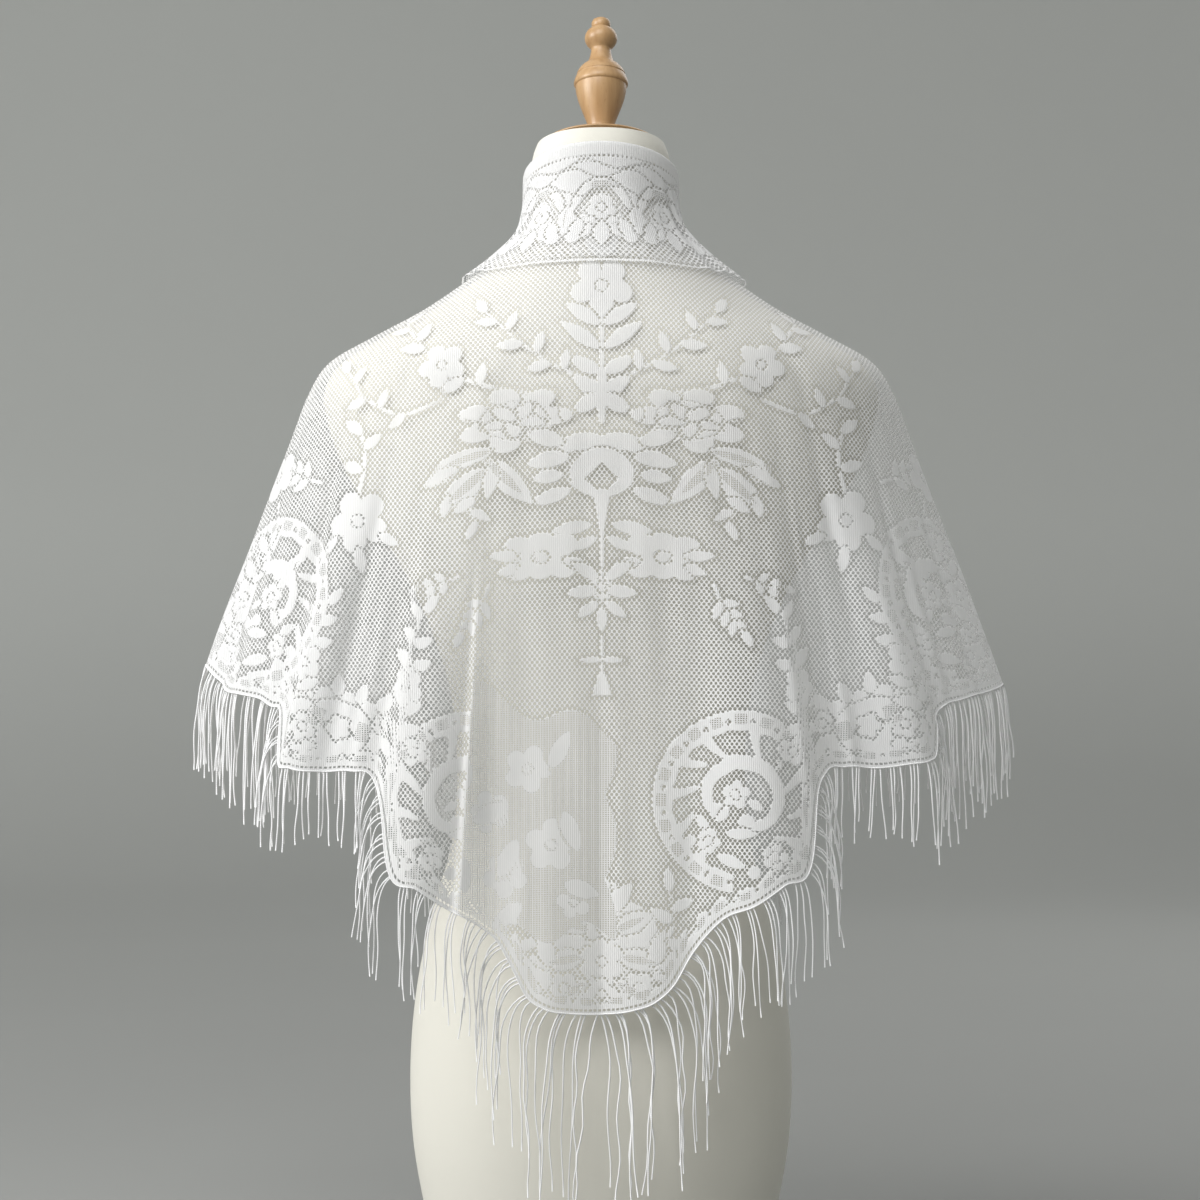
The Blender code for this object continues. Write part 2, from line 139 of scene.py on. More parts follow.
# The stage: the camera's sensor in millimetres and how far it stands aside, the floor's radius, the round
# bend up to the backdrop, and the light of the room.
SENSOR_WIDTH = 36
CAMERA_ASIDE = -0.0008
FLOOR_START = 0.02
FLOOR_RADIUS = 3.6
BEND_RADIUS = 3.0
BACKDROP_TOP = 7.0
STAGE_COLUMNS, STAGE_ROWS = 128, 24
ROOM_COLOUR = (0.97, 0.985, 1.0, 1)
ROOM_STRENGTH = 0.47

# The lamps: name, place, width, the setting that holds the power, and the point aimed at.
LAMPS = (
    ("key_light", (-3.1, -1.3, 1.9), 1.8, "key_power", (0, 0, 0.65)),
    ("fill_light", (1.6, 2.4, 2.4), 2.2, "fill_power", (0, 0, 0.5)),
    ("top_light", (-0.7, -1.8, 2.7), 1.8, "top_power", (0, 0, 0.58)),
)

# Sections of the form: height, half width, and depth behind and before the axis.
FORM_SECTIONS = (
    (0.000, 0.128, 0.094, 0.082), (0.074, 0.145, 0.107, 0.095), (0.120, 0.153, 0.114, 0.098),
    (0.178, 0.156, 0.118, 0.100), (0.240, 0.152, 0.114, 0.100), (0.312, 0.138, 0.098, 0.097),
    (0.368, 0.122, 0.084, 0.092), (0.426, 0.118, 0.076, 0.088), (0.480, 0.1215, 0.078, 0.091),
    (0.531, 0.135, 0.086, 0.101), (0.589, 0.161, 0.095, 0.113), (0.637, 0.190, 0.101, 0.117),
    (0.672, 0.2095, 0.104, 0.114), (0.710, 0.2235, 0.105, 0.106), (0.738, 0.2260, 0.103, 0.095),
    (0.758, 0.2140, 0.099, 0.086), (0.778, 0.1830, 0.094, 0.077), (0.798, 0.1460, 0.087, 0.068),
    (0.818, 0.1150, 0.079, 0.060), (0.838, 0.0860, 0.070, 0.055), (0.858, 0.0650, 0.060, 0.0545),
    (0.880, 0.0580, 0.053, 0.0560), (0.908, 0.0568, 0.0505, 0.0585), (0.926, 0.0562, 0.0500, 0.0580),
    (0.935, 0.0530, 0.0470, 0.0550),
)

# How far the cloth flares out for each metre that it falls below the shoulder, by turn.
FLARES = (
    (0, 0.045), (15, 0.075), (30, 0.150), (45, 0.205), (60, 0.255), (75, 0.300), (90, 0.325),
    (105, 0.300), (120, 0.240), (135, 0.170), (150, 0.100), (165, 0.050), (180, 0.030),
)

# The large folds: turn of the ridge, half width in degrees, rise, height where it starts, and
# how far the cloth falls until the fold has its full rise.
FOLDS = (
    (-154, 7.0, 0.012, 0.62, 0.26), (-131, 7.5, 0.014, 0.68, 0.26), (-109, 7.0, 0.012, 0.71, 0.26),
    (-90, 22.0, 0.009, 0.785, 0.07), (-88, 8.0, 0.011, 0.74, 0.26), (-67, 6.0, 0.009, 0.66, 0.26),
    (-48, 8.0, 0.017, 0.71, 0.26), (-26, 7.0, 0.022, 0.69, 0.26), (-8, 5.0, 0.005, 0.50, 0.22),
    (7, 4.5, 0.005, 0.46, 0.20), (24, 7.0, 0.019, 0.66, 0.26), (50, 8.5, 0.018, 0.72, 0.26),
    (69, 6.0, 0.008, 0.64, 0.26), (90, 22.0, 0.009, 0.785, 0.07), (90, 8.0, 0.011, 0.74, 0.26),
    (111, 7.0, 0.013, 0.70, 0.26), (133, 7.5, 0.012, 0.67, 0.26), (155, 7.0, 0.011, 0.61, 0.26),
)

# Smaller creases, one by one: turn, height of the middle, half width in degrees, half length, rise (below
# zero for a trough), and how many degrees it drifts for each metre down.
CREASES = (
    (-143, 0.55, 2.6, 0.12, 0.0030, 12), (-121, 0.57, 2.4, 0.13, -0.0034, -9),
    (-99, 0.60, 2.2, 0.12, 0.0028, 6), (-78, 0.56, 2.4, 0.12, -0.0036, -8),
    (-58, 0.52, 1.9, 0.10, 0.0032, 10), (-54, 0.60, 1.6, 0.09, -0.0030, 8),
    (-41, 0.55, 1.8, 0.13, -0.0042, -6), (-36, 0.48, 1.3, 0.09, 0.0034, -4),
    (-33, 0.44, 1.2, 0.07, -0.0034, 0), (-30, 0.52, 1.3, 0.10, 0.0026, 4),
    (-17, 0.40, 1.7, 0.10, -0.0026, 10), (-12, 0.33, 1.3, 0.06, 0.0016, 0),
    (-3, 0.60, 2.0, 0.10, -0.0010, 8), (3, 0.36, 1.5, 0.08, 0.0014, -6),
    (12, 0.60, 2.2, 0.09, -0.0010, -14), (14, 0.37, 1.6, 0.09, -0.0026, -8),
    (30, 0.47, 1.3, 0.11, 0.0030, 5), (34, 0.50, 1.5, 0.12, -0.0044, 4), (38, 0.45, 1.2, 0.08, 0.0030, 0),
    (42, 0.60, 1.7, 0.11, -0.0034, 9), (57, 0.57, 1.9, 0.12, -0.0030, -8),
    (61, 0.52, 1.6, 0.08, 0.0024, -4), (76, 0.56, 2.4, 0.11, -0.0034, 7),
    (101, 0.58, 2.2, 0.13, -0.0030, 8), (122, 0.56, 2.6, 0.12, -0.0036, 5),
    (144, 0.52, 2.4, 0.12, 0.0028, -9), (165, 0.42, 2.0, 0.12, -0.0022, 0),
    (-165, 0.44, 2.0, 0.11, -0.0020, 4), (-22, 0.735, 3.0, 0.05, 0.0016, -60),
    (26, 0.728, 3.2, 0.05, 0.0018, 60), (-38, 0.755, 3.0, 0.04, -0.0012, -70),
    (40, 0.752, 2.8, 0.04, -0.0012, 70),
)

# Pleats whose edge stands over the cloth beside it: turn of the edge, which side is set back (-1 for
# smaller turns), width of the step in degrees, depth, height of the middle, and half length.
PLEATS = (
    (-20.5, -1, 0.9, 0.0085, 0.430, 0.130), (-49.0, -1, 1.2, 0.0050, 0.520, 0.110),
    (34.5, 1, 1.3, 0.0070, 0.480, 0.140), (55.0, 1, 1.4, 0.0045, 0.540, 0.090),
    (-118.0, 1, 1.6, 0.0050, 0.560, 0.120), (120.0, -1, 1.6, 0.0050, 0.560, 0.120),
)

# The collar's own folds: turn, half width in degrees, rise, and drift in degrees from fold to edge.
COLLAR_FOLDS = (
    (-150, 5, 0.0022, 4), (-118, 6, 0.0018, -5), (-84, 6, 0.0014, 6), (-58, 5, 0.0016, -8),
    (-37, 4, 0.0016, -9), (-14, 5, 0.0008, -5), (9, 4, 0.0009, 4), (27, 3.5, 0.0022, 8), (36, 3, 0.0036, 10),
    (45, 3, 0.0038, 9), (56, 4, 0.0026, 7), (82, 6, 0.0016, -5), (114, 6, 0.0020, 5), (148, 5, 0.0022, -4),
)

# The hem's outline: turn, and height of the edge at the left (-X) and at the right (+X).
HEM = (
    (0.0, 0.2430, 0.2430), (4.5, 0.2440, 0.2460), (8.7, 0.2485, 0.2550), (11.1, 0.2580, 0.2680),
    (13.0, 0.2780, 0.2860), (15.3, 0.3000, 0.3030), (18.0, 0.3130, 0.3180), (22.0, 0.3260, 0.3280),
    (25.5, 0.3400, 0.3430), (29.5, 0.3580, 0.3640), (31.4, 0.4020, 0.4140), (33.4, 0.4250, 0.4310),
    (37.0, 0.4310, 0.4350), (42.0, 0.4300, 0.4330), (47.0, 0.4310, 0.4345), (50.6, 0.4400, 0.4360),
    (52.6, 0.4720, 0.4400), (56.0, 0.4800, 0.4690), (60.0, 0.4855, 0.4800), (66.0, 0.4880, 0.4840),
    (73.0, 0.4900, 0.4870), (80.0, 0.4980, 0.4880), (86.0, 0.5050, 0.4890), (91.0, 0.5060, 0.4900),
    (97.0, 0.4950, 0.4860), (104.0, 0.4880, 0.4830), (112.0, 0.4850, 0.4810),
    (120.0, 0.4780, 0.4780), (128.0, 0.4740, 0.4740), (136.0, 0.4700, 0.4700),
    (143.0, 0.4640, 0.4640), (148.0, 0.4480, 0.4480), (151.0, 0.4020, 0.4020),
    (154.0, 0.3660, 0.3660), (159.0, 0.3520, 0.3520), (163.0, 0.3320, 0.3320),
    (166.0, 0.2880, 0.2880), (170.0, 0.2580, 0.2580), (173.5, 0.2420, 0.2420),
    (177.0, 0.2380, 0.2380),
)

# The collar's free edge: turn, how far down the cloth it lies, and how far it stands off.
COLLAR_EDGE = (
    (-177, 0.100, 0.0030), (-120, 0.104, 0.0045), (-90, 0.106, 0.0060), (-45, 0.106, 0.0045),
    (-15, 0.102, 0.0030), (15, 0.102, 0.0030), (45, 0.108, 0.0050), (90, 0.112, 0.0075),
    (120, 0.106, 0.0055), (177, 0.100, 0.0030),
)

# Length of the fringe: turn either way, and length of the thread.
FRINGE_LENGTHS = (
    (0, 0.150), (8, 0.145), (13, 0.120), (18, 0.092), (28, 0.085), (36, 0.062), (45, 0.058),
    (53, 0.086), (62, 0.098), (75, 0.092), (90, 0.082), (135, 0.085), (151, 0.092), (177, 0.105),
)

# Stretches of the cloth: name, the node that it stands for, its fringe, and the turns of its two sides.
STRETCHES = (
    ("front_lace_left", "lace_front_left", "fringe_front_left", -177, -97),
    ("wing_lace_left", "lace_wing_left", "fringe_wing_left", -97, -37),
    ("back_lace", "lace_back", "fringe_back", -37, 37),
    ("wing_lace_right", "lace_wing_right", "fringe_wing_right", 37, 97),
    ("front_lace_right", "lace_front_right", "fringe_front_right", 97, 177),
)

# The turned neck cap, then the turned finial on it: radius, and height along the leaning axis.
CAP_PROFILE = (
    (0.0430, 0.0000), (0.0430, 0.0030), (0.0476, 0.0031), (0.0482, 0.0035), (0.0482, 0.0040),
    (0.0474, 0.0049), (0.0450, 0.0056), (0.0400, 0.0066), (0.0320, 0.0075), (0.0250, 0.0082),
    (0.0190, 0.0086), (0.0160, 0.0088),
)
FINIAL_PROFILE = (
    (0.0140, 0.0000), (0.0150, 0.0005), (0.0153, 0.0018), (0.0150, 0.0031), (0.0138, 0.0038),
    (0.0131, 0.0042), (0.0133, 0.0052), (0.0128, 0.0064), (0.0112, 0.0076), (0.0105, 0.0100),
    (0.0111, 0.0135), (0.0124, 0.0180), (0.0145, 0.0235), (0.0168, 0.0295), (0.0190, 0.0360),
    (0.0205, 0.0420), (0.0210, 0.0462), (0.0211, 0.0480), (0.0217, 0.0484), (0.0223, 0.0492),
    (0.0224, 0.0510), (0.0218, 0.0535), (0.0209, 0.0560), (0.0204, 0.0571), (0.0198, 0.0574),
    (0.0197, 0.0582), (0.0200, 0.0587), (0.0195, 0.0603), (0.0178, 0.0632), (0.0152, 0.0660),
    (0.0128, 0.0678), (0.0116, 0.0684), (0.0110, 0.0692), (0.0101, 0.0712), (0.0091, 0.0745),
    (0.0084, 0.0780), (0.0081, 0.0808), (0.0084, 0.0815), (0.0100, 0.0832), (0.0118, 0.0853),
    (0.0131, 0.0880), (0.0135, 0.0905), (0.0131, 0.0935), (0.0118, 0.0962), (0.0098, 0.0984),
    (0.0079, 0.0998), (0.0072, 0.1003), (0.0076, 0.1010), (0.0079, 0.1030), (0.0077, 0.1050),
    (0.0066, 0.1070), (0.0046, 0.1082), (0.0020, 0.1086),
)


def curve(known_at, known, wanted):
    """Smooth curve through the known values: a cubic on each stretch, with the slopes of the neighbours."""
    known_at = np.asarray(known_at, float)
    known = np.asarray(known, float)
    slopes = np.gradient(known, known_at)
    wanted = np.clip(wanted, known_at[0], known_at[-1])
    i = np.clip(np.searchsorted(known_at, wanted) - 1, 0, len(known_at) - 2)
    span = known_at[i + 1] - known_at[i]
    t = (wanted - known_at[i]) / span
    return (
        known[i] * (1 + 2 * t) * (1 - t) ** 2
        + known[i + 1] * t**2 * (3 - 2 * t)
        + slopes[i] * span * t * (1 - t) ** 2
        - slopes[i + 1] * span * t**2 * (1 - t)
    )


def eased(share):
    """A share from 0 to 1 that starts and ends softly: 3 s squared less 2 s cubed."""
    share = np.clip(share, 0, 1)
    return share**2 * (3 - 2 * share)


def columns_of(rows):
    """A table's columns as arrays."""
    return np.array(rows, float).T


def unit(vectors):
    """The same vectors, each 1 long."""
    return vectors / np.maximum(np.linalg.norm(vectors, axis=-1, keepdims=True), 1e-12)


def bearing(turn):
    """Polar angle of a turn: turns crowd towards the sides, where the hem curves most."""
    turn = np.radians(turn)
    return np.arctan2(SIDE_SPREAD * np.sin(turn), np.cos(turn))


def placed(radius, angle, height):
    """Points at a distance and angle from the axis. Rings lean forward as they near the neck's top."""
    lean = math.tan(NECK_LEAN) * eased((height - LEAN_FROM) / (LEAN_TO - LEAN_FROM))
    behind = radius * np.cos(angle)
    return np.stack([radius * np.sin(angle), -behind, height + lean * behind], axis=-1)


def form_radius(height, angle):
    """Distance from the axis to the form: an oval of power 2.25, with one depth behind and another before."""
    heights, half_widths, backs, fronts = columns_of(FORM_SECTIONS)
    half_width = curve(heights, half_widths, height)
    depth = np.where(np.cos(angle) > 0, curve(heights, backs, height), curve(heights, fronts, height))
    across = np.abs(np.sin(angle) / half_width) ** OVAL_POWER
    along = np.abs(np.cos(angle) / depth) ** OVAL_POWER
    return (across + along) ** (-1 / OVAL_POWER)


def normals_of(points):
    """Unit normals of a grid of points, rows going down and columns going round, pointing out."""
    return unit(np.cross(np.gradient(points, axis=0), np.gradient(points, axis=1)))


def folds_at(turn, height):
    """How far the folds stand out: bell-shaped ridges round the form that grow as the cloth falls."""
    rise = np.zeros_like(height)
    for ridge, half_width, most, starts, grows_over in FOLDS:
        rise += most * np.exp(-(((turn - ridge) / half_width) ** 2)) * eased((starts - height) / grows_over)
    return rise


def creases_at(turn, height):
    """The smaller creases: bells across and along, each drifting sideways as it goes down."""
    rise = np.zeros_like(height)
    for middle_turn, middle_height, half_width, half_length, most, drift in CREASES:
        away = (turn - middle_turn - drift * (middle_height - height)) / half_width
        along = (height - middle_height) / half_length
        rise += most * np.exp(-(away**2) - along**2)
    for edge, side, width, depth, middle_height, half_length in PLEATS:
        past = (turn - edge) * side / width
        set_back = eased(past) * np.exp(-np.maximum(past, 0) / 5)
        rise -= depth * set_back * np.exp(-(((height - middle_height) / half_length) ** 4))
    ripple = np.sin(turn * 0.9 + height * 31) * np.sin(height * 23 - turn * 0.17)
    return rise + RIPPLE * ripple * eased((SHOULDER_HEIGHT - height) / 0.1)


def hem_height(turn):
    """Height of the hem at a turn, which differs between the two sides."""
    turns, left, right = columns_of(HEM)
    return np.where(turn < 0, curve(turns, left, -turn), curve(turns, right, turn))


def hung_cloth(turns):
    """The cloth on fine rows: it follows the form outwards, then falls from where it is widest, lifted
    along its normal by the gap, the folds and the creases."""
    angle = bearing(turns)
    top = COLLAR_TOP + COLLAR_TOP_RISE * np.cos(angle)
    height = top + (LOWEST_CLOTH - top) * np.linspace(0, 1, FINE_ROWS)[:, None]
    flare_turns, flares = columns_of(FLARES)
    slack = curve(flare_turns, flares, np.abs(turns)) * np.maximum(0, SHOULDER_HEIGHT - height)
    radius = np.maximum.accumulate(form_radius(height, angle) - slack, axis=0) + slack
    on_form = placed(radius, angle, height)
    lift = CLOTH_GAP + CLOTH_WALL / 2 + folds_at(turns, height) + creases_at(turns, height)
    lifted = on_form + normals_of(on_form) * np.maximum(lift, LEAST_GAP)[..., None]
    steps = np.linalg.norm(np.diff(lifted, axis=0), axis=-1)
    fallen = np.vstack([np.zeros(len(turns)), np.cumsum(steps, axis=0)])
    return lifted, fallen, height


def read_down(values, at, wanted):
    """Each column's values, known at its own rising places, read at the wanted places: linear between
    neighbours, found by one sorted search with all columns laid end to end."""
    rows, columns = at.shape
    apart = np.arange(columns) * 10.0
    found = np.searchsorted((at + apart).T.ravel(), (wanted + apart).T.ravel()).reshape(columns, -1).T
    low = np.clip(found - np.arange(columns) * rows - 1, 0, rows - 2)
    start = np.take_along_axis(at, low, 0)
    share = np.clip((wanted - start) / (np.take_along_axis(at, low + 1, 0) - start), 0, 1)
    if values.ndim == 3:
        low, share = low[..., None], share[..., None]
    return np.take_along_axis(values, low, 0) * (1 - share) + np.take_along_axis(values, low + 1, 0) * share


class Drawing:
    """Shapes on the flat cloth. Each field is a distance in millimetres, below zero inside a shape:
    dense for close work, gauze for half-open blocks within it. The left is a mirror of the right."""

    def __init__(self, across, down, fields=None):
        self.x = across
        self.y = down
        self.fields = fields or {field: np.full(across.shape, NO_SHAPE) for field in ("dense", "gauze")}

    def at(self, x, y, turn=0.0):
        """The same drawing in coordinates moved to x, y and turned by an angle in radians."""
        cos, sin = math.cos(turn), math.sin(turn)
        right, below = self.x - x, self.y - y
        return Drawing(right * cos + below * sin, below * cos - right * sin, self.fields)

    def add(self, distance, field="dense", parted=False):
        """Adds a shape. A parted one keeps a line of holes between itself and the close work around it."""
        if parted:
            self.open(np.abs(distance - 1.5) - 1.2)
        self.fields[field] = np.minimum(self.fields[field], distance)

    def open(self, distance):
        """Lets the net show inside a shape."""
        self.fields["dense"] = np.maximum(self.fields["dense"], -distance)
        self.fields["gauze"] = np.maximum(self.fields["gauze"], -distance)

    def leaf_distance(self, x, y, angle, length, width):
        """A leaf from its foot at x, y: half its width times the sine of pi times the share of its length."""
        angle = math.radians(angle)
        along = (self.x - x) * math.cos(angle) + (self.y - y) * math.sin(angle)
        aside = (self.y - y) * math.cos(angle) - (self.x - x) * math.sin(angle)
        share = np.clip(along / length, 0, 1)
        half = width / 2 * np.sin(math.pi * share**0.85) ** 0.8
        return np.maximum(np.abs(aside) - half, np.abs(along - length / 2) - length / 2)

    def leaf(self, x, y, angle, length, width, vein=False):
        """A parted leaf, with a gauze vein if it has one."""
        self.add(self.leaf_distance(x, y, angle, length, width), parted=True)
        if vein:
            self.add(self.leaf_distance(x, y, angle, length * 0.8, width * 0.42), "gauze")

    def leaves(self, slimness, rows):
        """Plain leaves, each row with x, y, angle and length. Their width is a share of the length."""
        for x, y, angle, length in rows:
            self.leaf(x, y, angle, length, length * slimness)

    def polar(self, x, y):
        """Distance and angle from a point."""
        return np.hypot(self.x - x, self.y - y), np.arctan2(self.x - x, self.y - y)

    def flower(self, x, y, size, petals=5, turn=0.0, eye=True):
        """Petals: the edge's radius swings with a root of the angle's cosine. Its eye is a ring of net."""
        radius, angle = self.polar(x, y)
        swing = np.abs(np.cos(petals / 2 * (angle - math.radians(turn)))) ** 0.55
        self.add((radius - size * (0.52 + 0.48 * swing)) * 0.85, parted=True)
        if eye:
            self.open(np.abs(radius - max(4.2, size * 0.21)) - 1.1)

    def stroke_distance(self, points, width, tip=None):
        """Distance to a smooth line through the points, less half its width, which tapers to the tip."""
        points = np.array(points, float)
        at = np.linspace(0, len(points) - 1, STEM_STEPS)
        line = np.stack([curve(np.arange(len(points)), points[:, axis], at) for axis in (0, 1)], axis=1)
        widths = np.linspace(width, width if tip is None else tip, STEM_STEPS)
        least = np.full(self.x.shape, NO_SHAPE)
        for (x, y), (u, v), half in zip(line[:-1], line[1:], widths / 2):
            reach = (u - x) ** 2 + (v - y) ** 2
            share = np.clip(((self.x - x) * (u - x) + (self.y - y) * (v - y)) / reach, 0, 1)
            away = np.hypot(self.x - x - share * (u - x), self.y - y - share * (v - y))
            least = np.minimum(least, away - half)
        return least

    def stroke(self, points, width, tip=None):
        """A stem along the points."""
        self.add(self.stroke_distance(points, width, tip))

    def vein(self, points, width=2.6):
        """A line of net between two close shapes."""
        self.open(self.stroke_distance(points, width))

    def dot(self, x, y, radius):
        """A round spot of close work."""
        self.add(np.hypot(self.x - x, self.y - y) - radius)

    def window(self, x, y, half_width, half_height):
        """A lozenge of net inside close work."""
        self.open(np.abs(self.x - x) / half_width * half_height + np.abs(self.y - y) - half_height)

    def sprig(self, x, y, angle, length, leaves=3, size=15):
        """A bent stem with leaves at both sides and one at its tip."""
        angle = math.radians(angle)
        along = np.array([math.cos(angle), math.sin(angle)])
        aside = np.array([-along[1], along[0]])
        foot = np.array([x, y])
        bent = foot + along * length * 0.5 + aside * length * 0.08
        self.stroke([foot, bent, foot + along * length], 2.6, 1.6)
        for i in range(leaves):
            spot = foot + along * length * (0.3 + 0.6 * i / leaves) + aside * length * 0.06
            for side in (-1, 1):
                lean = math.degrees(angle) + side * (52 - 8 * i)
                self.leaf(*spot, lean, size * (1 - 0.12 * i), size * 0.42)
        self.leaf(*(foot + along * length * 0.92), math.degrees(angle), size, size * 0.45)


def draw_field(cloth):
    """The open field: a flower on a stem, leaf sprays, the band of rosettes, and the drops below it."""
    cloth.flower(0, 122, 25, 5, 0)
    cloth.stroke([(0, 145), (0, 178), (0, 214)], 3.4)
    for y, reach, rise in ((156, 26, 20), (176, 30, 24), (196, 24, 14)):
        cloth.leaf(2, y, -math.degrees(math.atan2(rise, reach)), math.hypot(reach, rise), 11)
    cloth.leaf(3, 96, -62, 22, 8)
    cloth.dot(0, 92, 5.5)
    cloth.stroke([(3, 206), (34, 190), (66, 164), (92, 132)], 3.2, 1.8)
    cloth.leaves(0.42, ((30, 192, -98, 17), (40, 186, 8, 20), (52, 176, -108, 19), (62, 167, -2, 21),
                        (74, 153, -112, 18), (82, 144, -12, 19), (92, 132, -62, 19)))
    cloth.stroke([(60, 208), (98, 196), (134, 168), (160, 132), (172, 104)], 3.4, 1.8)
    cloth.flower(126, 176, 19, 5, 12)
    cloth.leaves(0.44, ((96, 197, -100, 19), (108, 190, 28, 21), (141, 158, -6, 22), (148, 150, -118, 20),
                        (158, 135, -10, 20), (164, 122, -128, 18), (172, 104, -66, 20)))
    cloth.stroke([(126, 206), (160, 214), (190, 196), (208, 168)], 3.0, 1.8)
    cloth.leaves(0.44, ((156, 213, 40, 18), (178, 206, -112, 17), (190, 197, 14, 19), (202, 180, -128, 17),
                        (208, 168, -58, 18)))


def draw_rosettes(cloth):
    """The close band: a crown of leaves, two oval rosettes and two leaf fans, round a lens that holds a
    lozenge of open net. Only lines of holes part them."""
    for angle in (-34, 30):
        cloth.leaf(0, 214, angle, 27, 12)
    cloth.stroke([(0, 198), (0, 214), (0, 234)], 7, 5)
    wide = Drawing((cloth.x - 69) / 1.75, cloth.y - 229, cloth.fields)
    wide.flower(0, 0, 26, 7, 12, eye=False)
    radius, _ = wide.polar(0, 0)
    wide.open(np.abs(radius - 15) - 0.8)
    wide.open(np.abs(radius - 4.6) - 1.3)
    for angle in (20, 92, 164, 236, 308):
        wide.leaf(0, 0, angle, 14, 6.5)
    for points in (((26, 216), (34, 226), (27, 240)), ((58, 202), (62, 209), (64, 216)),
                   ((92, 206), (88, 212), (84, 219)), ((108, 224), (100, 227), (93, 230))):
        cloth.vein(points, 2.2)
    lens = (np.abs(cloth.x / 29) ** 1.7 + np.abs((cloth.y - 274) / 21) ** 1.7) ** (1 / 1.7)
    cloth.add((lens - 1.0) * 21)
    cloth.stroke([(0, 254), (14, 250), (30, 254), (44, 262)], 14, 11)
    cloth.leaf(26, 262, 6, 34, 13)
    cloth.leaf(30, 250, -16, 30, 12)
    cloth.leaf(24, 288, 16, 34, 11)
    cloth.leaf(30, 276, 4, 26, 10)
    cloth.open(np.maximum(np.abs(lens - 0.93) * 22 - 1.2, cloth.y - 282))
    cloth.vein([(30, 268), (42, 270), (60, 270)], 2.2)
    cloth.window(0, 280, 14, 13)
    cloth.stroke([(0, 294), (0, 304), (0, 320)], 12, 3)
    cloth.leaf(92, 258, 134, 54, 18, vein=True)
    cloth.leaf(86, 252, 12, 48, 14, vein=True)
    cloth.leaf(90, 266, 40, 52, 19, vein=True)
    cloth.leaf(112, 264, 24, 32, 11)
    cloth.leaf(84, 262, 78, 30, 10)
    cloth.vein([(88, 258), (106, 264), (130, 276)], 2.2)
    cloth.stroke([(98, 288), (104, 300), (96, 312)], 2.6, 1.8)
    cloth.leaves(0.42, ((99, 290, 30, 20), (103, 299, 150, 18), (98, 308, 62, 17), (120, 286, 74, 18)))
    cloth.stroke([(0, 304), (0, 340), (0, 396)], 2.8, 2.2)
    cloth.leaf(8, 316, 8, 32, 10)
    cloth.leaf(4, 326, 26, 22, 8)


def draw_drops(cloth):
    """Below the band: two broad flowers, a small one on the stem, sprigs at both sides, and a bell."""
    broad = Drawing((cloth.x - 48) / 1.35, cloth.y - 340, cloth.fields)
    radius, _ = broad.polar(0, 0)
    broad.add(radius - 12)
    for x, y in ((-13, -9), (0, -11), (13, -9), (-13, 9), (13, 9), (0, 9)):
        broad.dot(x, y, 8.2)
    broad.open(np.abs(radius - 5.0) - 1.2)
    cloth.leaf(66, 338, -4, 23, 8)
    cloth.leaf(66, 346, 20, 17, 7)
    cloth.leaf(30, 344, 172, 20, 7)
    cloth.flower(0, 366, 13, 4, 0)
    cloth.leaves(0.4, ((3, 358, -30, 23), (4, 368, 4, 24), (3, 377, 36, 20)))
    cloth.leaf(0, 382, 90, 18, 8)
    cloth.sprig(88, 360, 58, 46, 3, 15)
    cloth.sprig(112, 352, 12, 34, 2, 13)
    cloth.stroke([(0, 404), (0, 424), (0, 440)], 1.8)
    cloth.leaf(0, 422, 2, 18, 4.5)
    cloth.add(np.maximum(np.abs(cloth.x) - 2.5 - 0.32 * (cloth.y - 434), np.abs(cloth.y - 442) - 8))
    cloth.stroke([(196, 216), (190, 250), (196, 282)], 3.0)
    cloth.flower(196, 300, 26, 5, 10)
    cloth.leaves(0.44, ((193, 226, -40, 21), (191, 240, 218, 19), (192, 258, -22, 22), (196, 322, 96, 21),
                        (214, 312, 34, 19), (178, 312, 150, 19)))
    for paint, row in ((cloth.sprig, (232, 262, -34, 54, 3, 18)), (cloth.sprig, (252, 322, 20, 44, 2, 16)),
                       (cloth.flower, (288, 236, 22, 5, 20)), (cloth.sprig, (286, 262, 74, 46, 3, 17)),
                       (cloth.sprig, (262, 168, -50, 46, 3, 16)), (cloth.flower, (330, 168, 24, 5, 0)),
                       (cloth.sprig, (336, 196, 58, 50, 3, 17)), (cloth.sprig, (372, 120, -8, 50, 3, 17)),
                       (cloth.flower, (392, 44, 24, 6, 0)), (cloth.sprig, (396, 74, 70, 44, 3, 17)),
                       (cloth.sprig, (300, 84, -22, 50, 3, 17))):
        paint(*row)


# Motifs at the sides and the front: kind, turn either way, distance below the neck's line in
# millimetres, angle, and size.
SIDE_MOTIFS = (
    ("flower", 104, 150, 0, 22), ("sprig", 108, 180, 70, 50), ("sprig", 98, 130, -80, 44),
    ("flower", 122, 120, 20, 20), ("sprig", 122, 146, 96, 48), ("sprig", 128, 104, -20, 44),
    ("flower", 140, 170, 10, 24), ("sprig", 134, 200, 110, 46), ("sprig", 147, 196, 60, 48),
    ("sprig", 146, 140, -70, 48), ("flower", 158, 110, 0, 20), ("sprig", 160, 134, 86, 50),
    ("flower", 163, 225, 30, 24), ("sprig", 156, 250, 104, 48), ("sprig", 170, 255, 80, 44),
    ("sprig", 168, 190, -84, 44), ("flower", 148, 300, 0, 22), ("sprig", 148, 328, 88, 46),
    ("flower", 168, 330, 12, 20), ("sprig", 166, 356, 92, 46), ("flower", 118, 230, 0, 22),
    ("sprig", 118, 258, 90, 40), ("sprig", 172, 140, 90, 40),
)


